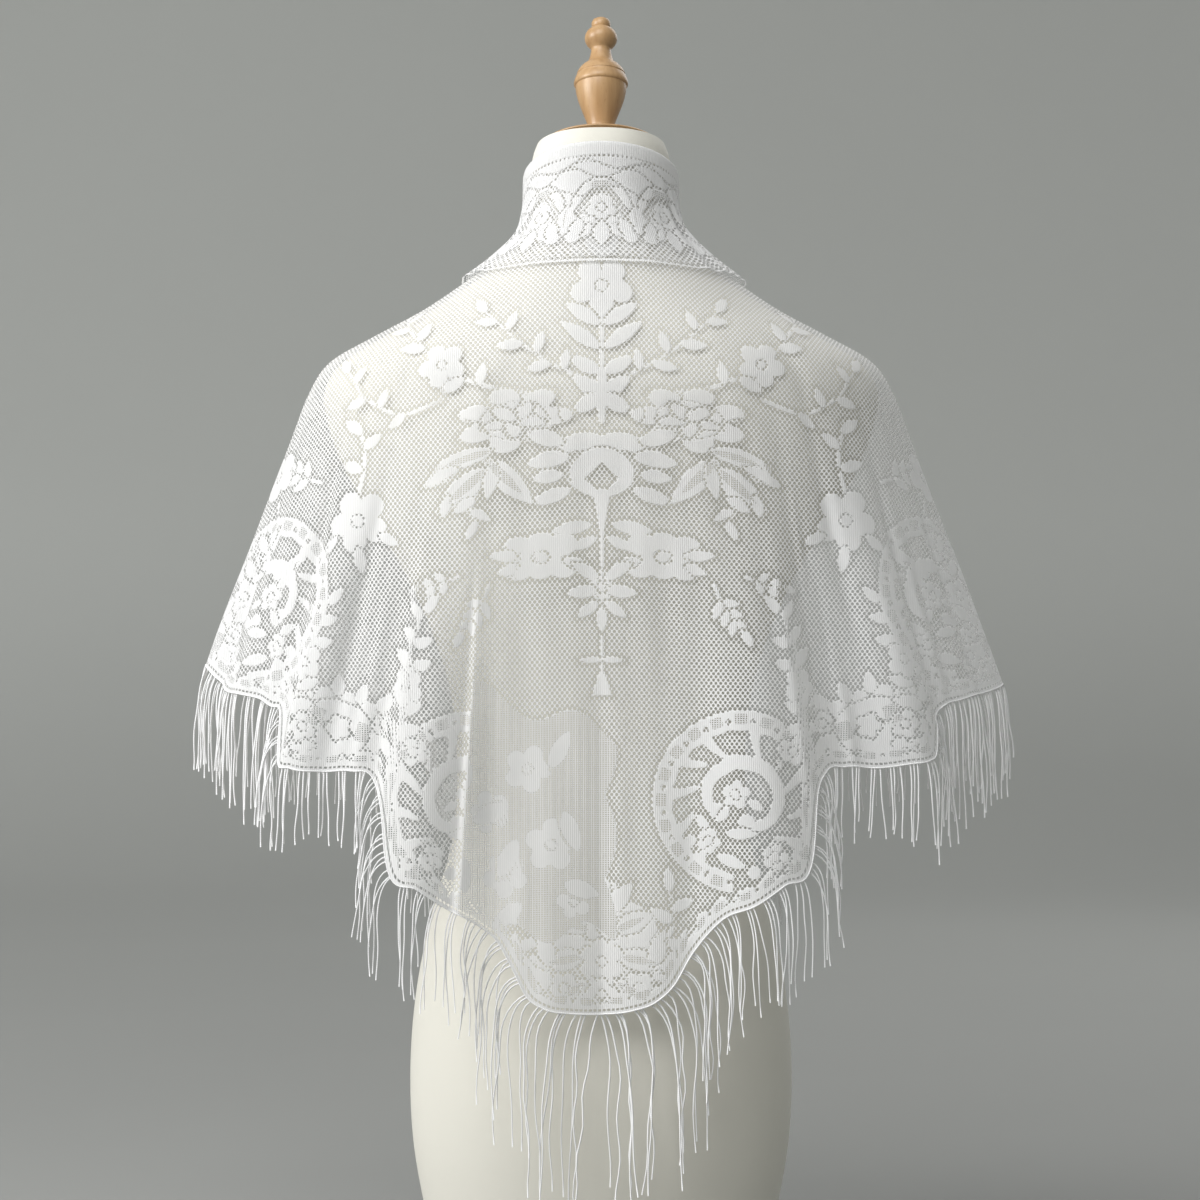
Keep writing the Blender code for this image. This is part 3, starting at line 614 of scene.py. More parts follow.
def draw_sides(cloth, spots):
    """Flowers and sprigs at the sides and the front, each turned so that it hangs straight down."""
    for kind, turn, fall, angle, size in SIDE_MOTIFS:
        x, y, facing = spots(turn, fall)
        here = cloth.at(x, y, -facing)
        if kind == "flower":
            here.flower(0, 0, size, 5, angle)
        else:
            here.sprig(0, 0, angle, size, 3, 17)


def draw_medallion(unit_drawing, size=1.0):
    """A round medallion: an arched band of gauze blocks with a scalloped inner edge, tapered spokes that
    cross a ring of net, a C-shaped scroll with round ends, and small flowers and leaves inside it."""
    here = Drawing(unit_drawing.x / size, unit_drawing.y / size, unit_drawing.fields)
    radius, angle = here.polar(0, 0)
    gap = (0.26 - np.abs(angle)) * radius
    swing = 1.6 * np.abs(np.sin(angle * 10))
    band = np.abs(radius - 64) - 7 - swing * (radius < 64)
    here.add(np.maximum(band, gap))
    block = (np.abs((angle * 10 / math.pi) % 1 - 0.5) - 0.25) * 20
    here.add(np.maximum(np.maximum(np.abs(radius - 64.5) - 4.2, block), gap), "gauze")
    lozenge = np.abs((angle * 10 / math.pi + 0.5) % 1 - 0.5) * 20 + np.abs(radius - 63)
    here.open(np.maximum(lozenge - 3.4, gap))
    for spoke, reach in ((-158, 21), (-132, 17), (-104, 20), (-74, 17), (-46, 19), (46, 19), (76, 17),
                         (106, 20), (134, 17), (160, 21)):
        turn = math.radians(spoke)
        foot, tip = 58.0, 58.0 - reach
        here.stroke([(foot * math.sin(turn), foot * math.cos(turn)),
                     ((foot + tip) / 2 * math.sin(turn - 0.05), (foot + tip) / 2 * math.cos(turn - 0.05)),
                     (tip * math.sin(turn - 0.20), tip * math.cos(turn - 0.20))], 8.5, 2.8)
    scroll = [(r * math.sin(math.radians(a)), r * math.cos(math.radians(a))) for a, r in
              ((-76, 20), (-98, 27), (-134, 31), (180, 32), (134, 32), (92, 31), (56, 28), (26, 24), (8, 17))]
    here.stroke(scroll[:4], 7, 11)
    here.stroke(scroll[3:], 11, 7)
    here.dot(*scroll[0], 6.6)
    here.dot(*scroll[-1], 6.4)
    here.flower(-3, -6, 11.5, 5, 20)
    here.leaf(6, 0, 40, 15, 6.5)
    here.leaf(-10, 3, 140, 15, 6.5)
    here.leaf(-16, 22, 12, 26, 8)
    here.leaf(-38, 4, 62, 24, 8)
    here.flower(-31, 26, 10, 5, 0)
    here.leaf(-26, 38, 30, 26, 9)
    here.leaf(8, 42, -12, 22, 8)
    here.flower(20, 47, 10, 5, 10)
    here.dot(-46, 24, 4.2)
    here.dot(2, 56, 5)


def draw_cartouche(unit_drawing, size=1.0):
    """A close panel between two medallions: an arched frame parted by a line of net, gauze corners,
    and a window of net that holds a small flower."""
    here = Drawing(unit_drawing.x / size, unit_drawing.y / size, unit_drawing.fields)
    oval = (np.abs(here.x / 40) ** 2.6 + np.abs(here.y / 30) ** 2.6) ** (1 / 2.6)
    here.add((oval - 1) * 30)
    here.open(np.maximum(np.abs(oval - 0.72) * 34 - 1.3, here.y - 14))
    here.add(np.maximum(np.abs(np.abs(here.x) - 22) - 7, np.abs(here.y + 2) - 8), "gauze")
    here.window(0, 2, 17, 12)
    here.flower(0, 1, 10, 5, 0, eye=False)
    for x in (-30, -10, 10, 30):
        here.leaf(x, -24, -90 + x, 18, 11)
    for side in (-1, 1):
        here.leaf(side * 14, 22, 90 - side * 72, 26, 9)
        here.flower(side * 36, 20, 9, 5, 0)
        here.flower(side * 38, -14, 9, 5, 30)


def draw_tree(unit_drawing, height=110):
    """An upright stem from a notch of the hem: leaves in pairs, a flower part way, and a curled tip."""
    here = unit_drawing
    here.stroke([(0, 26), (-3, -30), (3, -72), (-2, -height)], 6.5, 2.6)
    for y, size in ((8, 21), (-10, 24), (-30, 21), (-64, 20), (-84, 17)):
        here.leaf(0, y, -34, size, size * 0.5)
        here.leaf(0, y + 5, 214, size, size * 0.5)
    here.flower(0, -46, 15, 5, 0)
    here.leaf(-2, -height + 4, -116, 19, 8)
    here.leaf(-1, -height + 8, -44, 17, 8)
    here.flower(21, -22, 11, 5, 30)
    here.flower(-20, 2, 11, 5, 0)


def draw_tail(unit_drawing):
    """The close panel at the point of the shawl: a lobed ground whose rosettes and leaves are parted by
    lines of holes, with a fan of leaves over it and two rising sprays."""
    here = unit_drawing
    for x, y, size in ((0, 14, 40), (-36, 22, 26), (36, 22, 26), (-20, -12, 24), (20, -12, 24), (0, -34, 20)):
        here.dot(x, y, size)
    for x, y, angle, length, width in (
            (0, -30, -90, 30, 13), (-6, -28, -128, 30, 12), (6, -28, -52, 30, 12), (-10, -14, -156, 34, 14),
            (10, -14, -24, 34, 14), (-14, 6, 172, 38, 15), (14, 6, 8, 38, 15), (-12, 26, 152, 36, 14),
            (12, 26, 28, 36, 14), (-40, 12, -110, 30, 12), (40, 12, -70, 30, 12)):
        here.leaf(x, y, angle, length, width, vein=length > 33)
    here.flower(0, -16, 13, 6, 0)
    here.flower(0, 10, 17, 6, 0)
    here.flower(-30, 30, 12, 5, 0)
    here.flower(30, 30, 12, 5, 0)
    here.flower(0, 36, 12, 5, 30)
    for side in (-1, 1):
        here.stroke([(side * 44, 4), (side * 56, -20), (side * 54, -46)], 4.0, 2.0)
        for x, y, angle, size in ((52, -8, 24, 18), (56, -22, -150, 20), (56, -32, -28, 18),
                                  (54, -46, -96, 18)):
            here.leaf(side * x, y, angle if side > 0 else 180 - angle, size, size * 0.46)


def draw_doubled(cloth, past_fold):
    """The left of the back hangs double beside the edge of its deep pleat: the nets of both layers close to
    fine gauze down to the tail, and its flowers and leaves show only faintly."""
    right = cloth.x - 2 - 10 * np.abs(np.sin(cloth.y / 21))
    top = 478 + 9 * np.sin(cloth.x / 12) + 0.35 * cloth.x - cloth.y
    foot = cloth.y - 634 - 8 * np.sin(cloth.x / 9)
    ground = np.maximum.reduce([-past_fold, right, top, foot])
    cloth.add(ground)
    cloth.add(ground, "gauze")
    faint = Drawing(cloth.x, cloth.y)
    for x, y, size in ((-58, 506, 19), (-88, 538, 17), (-40, 566, 21), (-76, 588, 18), (-22, 610, 14)):
        faint.flower(x, y, size, 5, x)
    for x, y, angle, length in ((-40, 506, -64, 32), (-72, 534, 160, 34), (-30, 540, 70, 34),
                                (-66, 560, 118, 34), (-108, 520, -96, 30), (-112, 572, 84, 30),
                                (-30, 596, 20, 30), (-62, 610, 142, 32)):
        faint.leaf(x, y, angle, length, 13)
    cloth.fields["gauze"] = np.maximum(cloth.fields["gauze"], -faint.fields["dense"])


def draw_hem_band(cloth, along, inset):
    """The close band at the hem: 11 mm to 15 mm deep with a waved top, gauze blocks, and small round eyes
    of net."""
    repeat = BORDER_REPEAT
    cloth.add(inset - 11 - 4.5 * np.abs(np.sin(along * math.pi / repeat)))
    place = np.abs((along / repeat) % 1 - 0.5) * repeat
    cloth.add(np.maximum(place - 6.0, np.abs(inset - 9.8) - 2.7), "gauze")
    eye = np.hypot(np.abs((along / repeat / 2 + 0.5) % 1 - 0.5) * repeat * 2 - 4.6, inset - 11)
    cloth.open(np.abs(eye - 2.5) - 1.0)
    lozenge = np.abs((along / repeat + 0.5) % 1 - 0.5) * repeat + np.abs(inset - 10)
    cloth.open(lozenge - 2.6)


# Border units: kind, turn either way, distance of the centre above the hem in millimetres, and size.
BORDER_UNITS = (
    ("tail", 0.0, 52, 1.0), ("medallion", 21.0, 84, 1.0), ("tree", 31.6, 36, 1.0),
    ("cartouche", 41.5, 34, 0.95), ("tree", 52.2, 36, 0.9), ("medallion", 68.5, 80, 1.02),
    ("tree", 84.0, 34, 0.85), ("cartouche", 92.0, 36, 0.95), ("tree", 101.0, 34, 0.9),
    ("medallion", 114.0, 82, 1.0), ("tree", 126.0, 34, 0.9), ("cartouche", 135.5, 36, 0.95),
    ("tree", 146.5, 36, 1.0), ("medallion", 160.0, 84, 0.95), ("cartouche", 171.0, 34, 0.7),
)


def draw_border(cloth, hem_spots):
    """The units along the hem, each turned so that its foot points at the hem."""
    painters = {"medallion": draw_medallion, "cartouche": draw_cartouche}
    for kind, turn, above, size in BORDER_UNITS:
        x, y, facing = hem_spots(turn, above)
        here = cloth.at(x, y, -facing)
        if kind == "tail":
            draw_tail(here)
        elif kind == "tree":
            draw_tree(here, 110 * size)
        else:
            painters[kind](here, size)


def draw_collar(across, down, edge):
    """The turned-down border: close ribbed work with a row of eyes, waves and arches parted by lines of
    holes, small windows of net among its leaves, and a narrow strip of net at the free edge."""
    repeat = COLLAR_REPEAT
    strip = Drawing(across, down)
    strip.add(down - 84 - 5 * np.cos(across * math.tau / repeat))
    eyes = np.hypot(np.abs(across / EYE_PITCH % 1 - 0.5) * EYE_PITCH, (down - EYE_ROW) * 0.8)
    strip.open(np.maximum(eyes - 1.7, np.abs(down - EYE_ROW) - 1.4))
    for middle, swing, shift in ((22, 3.0, 0), (29, 4.5, 13), (44, 4.0, 27)):
        strip.open(np.abs(down - middle - swing * np.sin((across + shift) * math.tau / repeat)) - 1.25)
    arch = Drawing((across + repeat / 2) % repeat - repeat / 2, down, strip.fields)
    radius, _ = arch.polar(0, 58)
    arch.open(np.maximum(np.abs(radius - 25) - 1.3, down - 58))
    arch.open(np.maximum(np.abs(radius - 15) - 2.8, down - 57))
    arch.add(np.maximum(np.maximum(np.abs(radius - 20) - 2.6, down - 50), np.abs(arch.x) - 9), "gauze")
    arch.flower(0, 58, 11, 5, 0)
    arch.leaf(repeat / 2, 56, 90, 26, 11, vein=True)
    for side in (-1, 1):
        arch.leaf(side * 5, 74, 90 - side * 62, 22, 9)
        arch.leaf(side * 15, 68, 90 - side * 20, 18, 8)
        arch.dot(side * 20, 84, 4.4)
        arch.window(side * 18, 61, 4.5, 7)
        arch.window(side * 9, 88, 5, 6)
    arch.leaf(0, 70, 90, 22, 10)
    strip.add(edge - 1.1)
    strip.open(np.abs(edge - 3.4) - 1.6)
    return strip.fields


@functools.cache
def shawl_grid():
    """The whole cloth at once: points, flat coordinates, drawn fields and the hem, on one fine grid."""
    coarse = np.linspace(STRETCHES[0][3], STRETCHES[-1][4], COARSE_COLUMNS)
    points, fallen, _ = hung_cloth(coarse)
    middle = read_down(points, fallen, np.full((1, len(coarse)), SPACED_AT))[0]
    round_it = np.concatenate([[0], np.cumsum(np.linalg.norm(np.diff(middle, axis=0), axis=1))])
    parts = []
    for _, _, _, start, end in STRETCHES:
        first, last = np.interp([start, end], coarse, round_it)
        count = int((last - first) / CLOTH_SPACING)
        parts.append(np.interp(np.linspace(first, last, count + 1)[:-1], round_it, coarse))
    turns = np.concatenate(parts + [[STRETCHES[-1][4]]])
    for _, _, _, start, _ in STRETCHES:
        turns[np.abs(turns - start).argmin()] = start

    points, fallen, height = hung_cloth(turns)
    hem = hem_height(turns)
    depth = read_down(fallen, -height, -hem[None])[0]
    wanted = np.linspace(0, 1, CLOTH_ROWS)[:, None] * depth
    cloth = read_down(points, fallen, wanted)

    levels = np.linspace(0, LONGEST_FALL, FLAT_ROWS)[:, None] * np.ones(len(turns))
    level_points = read_down(points, fallen, levels)
    strides = np.linalg.norm(np.diff(level_points, axis=1), axis=2)
    round_level = np.hstack([np.zeros((FLAT_ROWS, 1)), np.cumsum(strides, axis=1)])
    centre = np.argmin(np.abs(turns))
    round_level -= round_level[:, centre:centre + 1]
    opening = read_down(round_level / (NECK_ARC + levels), levels, wanted)
    across = (NECK_ARC + wanted) * np.sin(opening) / MM
    down = ((NECK_ARC + wanted) * np.cos(opening) - NECK_ARC) / MM

    hem_strides = np.linalg.norm(np.diff(cloth[-1], axis=0), axis=1)
    along = np.concatenate([[0], np.cumsum(hem_strides)]) / MM
    along -= along[centre]
    flat_hem = np.stack([across[-1], down[-1]], axis=1)
    inset = distance_to_line(across, down, flat_hem)

    def spots(turn, fall):
        """The flat place at a turn and a distance down, and the angle of the fan there."""
        column = np.argmin(np.abs(turns - turn))
        row = np.argmin(np.abs(wanted[:, column] - fall * MM))
        return across[row, column], down[row, column], opening[row, column]

    def hem_spots(turn, above):
        """The same for a distance above the hem."""
        return spots(turn, np.interp(turn, turns, depth) / MM - above)

    drawing = Drawing(np.abs(across), down)
    draw_field(drawing)
    draw_rosettes(drawing)
    draw_drops(drawing)
    draw_sides(drawing, spots)
    draw_border(drawing, hem_spots)
    past_fold = (turns - PLEATS[0][0]) * DOUBLED_ACROSS * np.ones_like(across)
    draw_doubled(Drawing(across, down, drawing.fields), past_fold)
    draw_hem_band(drawing, np.abs(along) * np.ones_like(across), inset)
    return {
        "turns": turns, "points": cloth, "across": across, "down": down, "inset": inset,
        "along": along * np.ones_like(across), "fields": drawing.fields, "lifted": points, "fallen": fallen,
    }


def distance_to_line(x, y, line):
    """Distance from each point of a grid to a long line, from the part of the line near its own column."""
    columns = x.shape[1]
    least = np.full(x.shape, 1e9)
    for shift in range(-NEAR_COLUMNS, NEAR_COLUMNS + 1, NEAR_STEP):
        a = line[np.clip(np.arange(columns) + shift, 0, columns - 1)]
        b = line[np.clip(np.arange(columns) + shift + NEAR_STEP, 0, columns - 1)]
        step = b - a
        reach = np.maximum((step**2).sum(axis=1), 1e-9)
        share = np.clip(((x - a[:, 0]) * step[:, 0] + (y - a[:, 1]) * step[:, 1]) / reach, 0, 1)
        away = np.hypot(x - a[:, 0] - share * step[:, 0], y - a[:, 1] - share * step[:, 1])
        least = np.minimum(least, away)
    return least


def grid_quads(rows, columns, closed=False):
    """Quads of a grid of points, rows going down. A closed grid's last column meets its first."""
    index = np.arange(rows * columns).reshape(rows, columns)
    if closed:
        index = np.hstack([index, index[:, :1]])
    return np.stack([index[:-1, :-1], index[1:, :-1], index[1:, 1:], index[:-1, 1:]], axis=-1).reshape(-1, 4)


def shape_from(name, points, quads, look, attributes=(), extra_faces=()):
    """A smooth mesh object from arrays of points and quads, with named vector attributes on its points."""
    mesh = bpy.data.meshes.new(name)
    faces = quads.tolist() + [list(face) for face in extra_faces]
    mesh.from_pydata(points.reshape(-1, 3).tolist(), [], faces)
    for title, values in attributes:
        layer = mesh.attributes.new(title, "FLOAT_VECTOR", "POINT")
        layer.data.foreach_set("vector", np.ascontiguousarray(values, dtype=np.float32).ravel())
    mesh.validate()
    mesh.shade_smooth()
    mesh.materials.append(look)
    made = bpy.data.objects.new(name, mesh)
    bpy.context.scene.collection.objects.link(made)
    return made


def tubes(paths, radii, sides, facing):
    """Round tubes along many paths at once, shaped (tubes, steps, 3): a ring of points at each step, on
    two directions square to the path, which come from the facing directions."""
    tangents = unit(np.gradient(paths, axis=1))
    right = unit(np.cross(tangents, facing))
    up = np.cross(right, tangents)
    angle = np.arange(sides) * math.tau / sides
    ring = right[:, :, None] * np.cos(angle)[:, None] + up[:, :, None] * np.sin(angle)[:, None]
    points = paths[:, :, None] + ring * radii[..., None, None]
    count, steps = paths.shape[:2]
    one = grid_quads(steps, sides, closed=True)[:, ::-1]
    quads = (one[None] + np.arange(count)[:, None, None] * steps * sides).reshape(-1, 4)
    first = np.arange(count)[:, None] * steps * sides + np.arange(sides)
    ends = np.concatenate([first, first[:, ::-1] + (steps - 1) * sides]).tolist()
    lengths = np.concatenate(
        [np.zeros((count, 1)), np.cumsum(np.linalg.norm(np.diff(paths, axis=1), axis=2), axis=1)], axis=1
    )
    twist = np.stack(np.broadcast_arrays((lengths / MM)[:, :, None], angle / math.tau, 0.0), axis=-1)
    return points, quads, ends, twist


class Value:
    """A socket of a material's nodes inside a Python expression: each operation adds one Math node.
    Fraction is what is left above the whole number, size is the value without its sign, root is the
    square root, and least and most are the smaller and the larger of two."""

    def __init__(self, looks, socket):
        self.looks = looks
        self.socket = socket

    def _with(self, operation, *others):
        """One Math node with this value first."""
        return self.looks.maths(operation, self, *others)

    def __add__(self, other):
        return self._with("ADD", other)

    def __sub__(self, other):
        return self._with("SUBTRACT", other)

    def __rsub__(self, other):
        return self.looks.maths("SUBTRACT", other, self)

    def __mul__(self, other):
        return self._with("MULTIPLY", other)

    __radd__ = __add__
    __rmul__ = __mul__

    def fraction(self):
        return self._with("FRACT")

    def size(self):
        return self._with("ABSOLUTE")

    def sine(self):
        return self._with("SINE")

    def root(self):
        return self._with("SQRT")

    def least(self, other):
        return self._with("MINIMUM", other)

    def most(self, other):
        return self._with("MAXIMUM", other)


class Looks:
    """A material in the making, round one Principled shader."""

    def __init__(self, name, roughness=0.6, **constants):
        self.material = bpy.data.materials.new(name)
        self.material.use_nodes = True
        self.tree = self.material.node_tree
        self.shader = self.tree.nodes["Principled BSDF"]
        self.shader.inputs["Roughness"].default_value = roughness
        for title, value in constants.items():
            self.shader.inputs[title.replace("_", " ").title()].default_value = value

    def node(self, kind, settings=None, inputs=None):
        """Any node: its settings are set first, then its sockets get values or links."""
        made = self.tree.nodes.new(kind)
        for title, value in (settings or {}).items():
            setattr(made, title, value)
        for title, value in (inputs or {}).items():
            self.feed(made.inputs[title], value)
        return made

    def feed(self, socket, value):
        """Links a value to a socket, or sets the socket to a plain number or colour."""
        if isinstance(value, Value):
            self.tree.links.new(value.socket, socket)
        else:
            socket.default_value = value

    def maths(self, operation, *values):
        """A Math node."""
        made = self.node("ShaderNodeMath", {"operation": operation}, dict(enumerate(values)))
        return Value(self, made.outputs[0])

    def step(self, value, low, high):
        """0 at low, 1 at high, and soft between them."""
        made = self.node("ShaderNodeMapRange", {"interpolation_type": "SMOOTHSTEP"},
                         {"Value": value, "From Min": low, "From Max": high})
        return Value(self, made.outputs["Result"])

    def attribute(self, title):
        """The three numbers of a vector attribute."""
        source = self.node("ShaderNodeAttribute", {"attribute_name": title})
        parts = self.node("ShaderNodeSeparateXYZ", None, {0: Value(self, source.outputs["Vector"])})
        return [Value(self, parts.outputs[axis]) for axis in "XYZ"]

    def place(self, turn=(0, 0, 0), scale=(1, 1, 1)):
        """Object coordinates, turned and scaled."""
        source = self.node("ShaderNodeTexCoord")
        mapped = self.node("ShaderNodeMapping", None, {
            "Vector": Value(self, source.outputs["Object"]), "Rotation": turn, "Scale": scale})
        return Value(self, mapped.outputs["Vector"])

    def noise(self, place, scale, detail=3.0, distortion=0.0):
        """Soft noise from 0 to 1."""
        made = self.node("ShaderNodeTexNoise", None, {
            "Vector": place, "Scale": scale, "Detail": detail, "Distortion": distortion})
        return Value(self, made.outputs["Fac"])

    def blend(self, share, first, second):
        """A colour between two others."""
        made = self.node("ShaderNodeMix", {"data_type": "RGBA"}, {0: share})
        self.feed(made.inputs[6], first if isinstance(first, Value) else (*first, 1.0))
        self.feed(made.inputs[7], second if isinstance(second, Value) else (*second, 1.0))
        return Value(self, made.outputs[2])

    def bump(self, height, strength, distance):
        """Relief that follows a height."""
        made = self.node("ShaderNodeBump", None, {
            "Height": height, "Strength": strength, "Distance": distance})
        self.feed(self.shader.inputs["Normal"], Value(self, made.outputs["Normal"]))

    def light_through(self, share):
        """Mixes in a share of a translucent shader, for the light that comes through fine white thread."""
        glow = self.node("ShaderNodeBsdfTranslucent", None, {"Color": (0.92, 0.92, 0.92, 1.0)})
        mixed = self.node("ShaderNodeMixShader", None, {
            0: share, 1: Value(self, self.shader.outputs[0]), 2: Value(self, glow.outputs[0])})
        self.feed(self.tree.nodes["Material Output"].inputs["Surface"], Value(self, mixed.outputs[0]))

    def set(self, **values):
        """Feeds the shader's sockets and gives the finished material."""
        for title, value in values.items():
            self.feed(self.shader.inputs[title.replace("_", " ").title()], value)
        return self.material


def lace_look(name, settings):
    """White machine lace. The net is a staggered lattice of round holes, worked out from the flat cloth's
    coordinates. Holes close inside the drawn shapes, grow in a row round them, and gauze blocks have a
    finer square mesh. A row of slots runs inside the hem. Holes are cut with Alpha. The threads carry
    painted shade: darker towards each hole's edge, in stripes along the ribs of the close work, and in
    the gauze blocks."""
    looks = Looks(name, roughness=0.74, sheen_weight=0.18, sheen_roughness=0.5)
    across, down, dense = looks.attribute("flat_place")
    along, inset, gauze = looks.attribute("flat_edge")
    pitch, row = settings.net_pitch / MM, settings.net_row / MM
    first = (across * (1 / pitch) + down * (0.5 / row)).fraction() - 0.5
    second = (across * (1 / pitch) - down * (0.5 / row)).fraction() - 0.5
    sideways = (first + second) * (pitch / 2)
    upright = (first - second) * row
    from_hole = (sideways * sideways + upright * upright * 0.9).root()
    rib_wave = (across * (math.tau / RIB_PITCH)).sine()
    raised = looks.step(dense, 0.9, -0.5)
    looks.bump((rib_wave * 0.2 + 0.75) * raised, 0.6, 0.0006)
    shut = looks.step(dense + (sideways + upright) * 0.32, 0.7, -0.4)
    beside = looks.step(dense, 5.2, 2.0)
    radius = (beside * 0.22 + settings.hole_radius / MM) * (1 - shut) - shut * 0.4
    net = looks.step(from_hole - radius, -0.16, 0.16)
    mesh_across = ((across * (1 / GAUZE_ACROSS)).fraction() - 0.5).size() * GAUZE_ACROSS
    mesh_down = ((down * (1 / GAUZE_DOWN)).fraction() - 0.5).size() * GAUZE_DOWN
    mesh = looks.step(mesh_across.most(mesh_down * 1.2), 0.50, 0.66)
    in_gauze = looks.step(gauze, 0.3, -0.5) * shut
    mesh = 1 - (1 - mesh) * in_gauze
    slot_along = ((along * (1 / SLOT_PITCH)).fraction() - 0.5).size() * SLOT_PITCH
    slot = looks.step(slot_along, 1.35, 1.05) * looks.step((inset - SLOT_INSET).size(), 0.95, 0.7)
    whole = net.least(mesh).least(1 - slot)
    # Painted shade: the threads are darkened towards each hole's edge, in stripes along the ribs of the close
    # work, and in the gauze blocks.
    painted_hole_edge_shade = looks.step(from_hole - radius, 0.34, 0.0) * (1 - shut * 0.5)
    shade = painted_hole_edge_shade * 0.6 + (rib_wave + 1) * shut * 0.105 + in_gauze * 0.10
    colour = looks.blend(shade, settings.lace_colour, settings.painted_shade_colour)
    looks.light_through(whole * THREAD_GLOW)
    return looks.set(base_color=colour, alpha=whole)


def thread_look(name, settings):
    """White twisted thread: slanting strands along it, as bump and as faint painted shade."""
    looks = Looks(name, roughness=0.6, sheen_weight=0.15)
    along, around, _ = looks.attribute("twist")
    strand = ((along * (1 / STRAND_PITCH) + around) * math.tau).sine()
    looks.bump(strand, 0.5, 0.0002)
    # Painted shade: the thread is darkened a little overall, and more in slanting stripes along its strands.
    colour = looks.blend(strand * 0.07 + 0.07, settings.thread_colour, settings.painted_shade_colour)
    return looks.set(base_color=colour, roughness=0.62 - strand * 0.08)


def jersey_look(name, colour):
    """Ivory stretch jersey over foam: columns of small stitches round the form, with a slight mottle."""
    looks = Looks(name, roughness=0.7, sheen_weight=0.12, sheen_roughness=0.6)
    around, height, _ = looks.attribute("knit")
    column = around * (1 / STITCH_WIDTH)
    side = (column.fraction() - 0.5).size()
    stitch = ((height * (1 / STITCH_HEIGHT) + side * 1.2) * math.tau).sine() * 0.5 + (0.5 - side)
    cloud = looks.noise(looks.place(), 9, 4)
    fine = looks.noise(looks.place(), 160, 2)
    looks.bump(stitch * 0.6 + fine * 0.5, 0.25, 0.0003)
    tone = cloud * 0.5 + fine * 0.2 + stitch * 0.12
    shade = tuple(value * 0.93 for value in colour)
    return looks.set(base_color=looks.blend(tone, shade, colour), roughness=0.66 + cloud * 0.12)


def beech_look(name, colour):
    """Turned beech under satin lacquer: long grain along the leaning axis, short flecks and turning lines."""
    looks = Looks(name, roughness=0.4, coat_weight=0.25, coat_roughness=0.25)
    lean = (-NECK_LEAN, 0, 0)
    grain = looks.noise(looks.place(lean, (1, 1, 0.09)), 190, 5, 0.4)
    boards = looks.noise(looks.place(lean, (1, 1, 0.2)), 34, 3, 1.2)
    fleck = looks.step(looks.noise(looks.place(lean, (1, 1, 0.16)), 620, 2), 0.62, 0.74)
    lines = looks.noise(looks.place(lean, (0.02, 0.02, 1)), 1500, 1)
    dark = tuple(value * share for value, share in zip(colour, (0.70, 0.62, 0.52)))
    tone = looks.step(grain * 0.55 + boards * 0.6, 0.30, 0.86)
    wood = looks.blend(tone - fleck * 0.35, dark, colour)
    looks.bump(grain * 0.4 + lines * 0.6, 0.12, 0.0002)
    return looks.set(base_color=wood, roughness=0.36 + grain * 0.14)


def paper_look(name, colour):
    """A matt seamless paper floor and backdrop, with painted shade underfoot, where the lights are nearest,
    and painted light that makes it a little lighter towards the left."""
    looks = Looks(name, roughness=0.9)
    cloud = looks.noise(looks.place(), 1.5, 2)
    looks.bump(looks.noise(looks.place(), 400, 2), 0.05, 0.0005)
    place = looks.place(scale=(0.5, 0.5, 3.4))
    apart = looks.node("ShaderNodeVectorMath", {"operation": "LENGTH"}, {0: place})
    away = looks.step(Value(looks, apart.outputs["Value"]), 0.2, 4.0)
    sideways = looks.node("ShaderNodeSeparateXYZ", None, {0: looks.place()})
    # Painted light: the backdrop is painted lighter towards the left and darker towards the right, as the key
    # lamp at the left would light it.
    left = looks.step(Value(looks, sideways.outputs["X"]), 2.6, -2.6)
    # Painted shade: the paper is painted much darker underfoot, round the form, where the lamps light it
    # most.
    near = tuple(value * 0.37 for value in colour)
    right = tuple(value * 0.80 for value in colour)
    far = looks.blend(left, right, colour)
    return looks.set(base_color=looks.blend(away * 0.96 + cloud * 0.04, near, far))


def length_setting(title, description, default, least, most):
    """A distance in metres, with its smallest and largest value."""
    return bpy.props.FloatProperty(name=title, description=description, default=default, min=least,
                                   max=most, subtype="DISTANCE", unit="LENGTH", precision=5)


def colour_setting(title, description, default):
    """A colour in linear light."""
    return bpy.props.FloatVectorProperty(name=title, description=description, default=default,
                                         subtype="COLOR", size=3, min=0.0, max=1.0)


def power_setting(title, description, default):
    """The power of a lamp in watts."""
    return bpy.props.FloatProperty(name=title, description=description, default=default, min=0.0,
                                   unit="POWER")


class ShawlLaceSettings(bpy.types.PropertyGroup):
    """Sizes and colours of the lace and its threads."""

    net_pitch: length_setting("Net Pitch", "Distance between the holes of one row of net",
                              0.0039, 0.001, 0.02)
    net_row: length_setting("Net Row", "Distance between two rows of holes", 0.0025, 0.001, 0.02)
    hole_radius: length_setting("Hole Radius", "Radius of a hole of the net", 0.00112, 0.0, 0.005)
    lace_colour: colour_setting("Lace", "Colour of the net and the close work", (0.90, 0.90, 0.905))
    thread_colour: colour_setting("Fringe", "Colour of the fringe's threads and of the hem's cord",
                                  # Painted shade: the grey that the lace is darkened towards at its holes'
                                  # edges, ribs and gauze, and the fringe along its strands.
                                  (0.94, 0.94, 0.945))
    painted_shade_colour: colour_setting("Thread Shade", "Colour of the threads where they turn into a hole",
                                 (0.42, 0.41, 0.39))


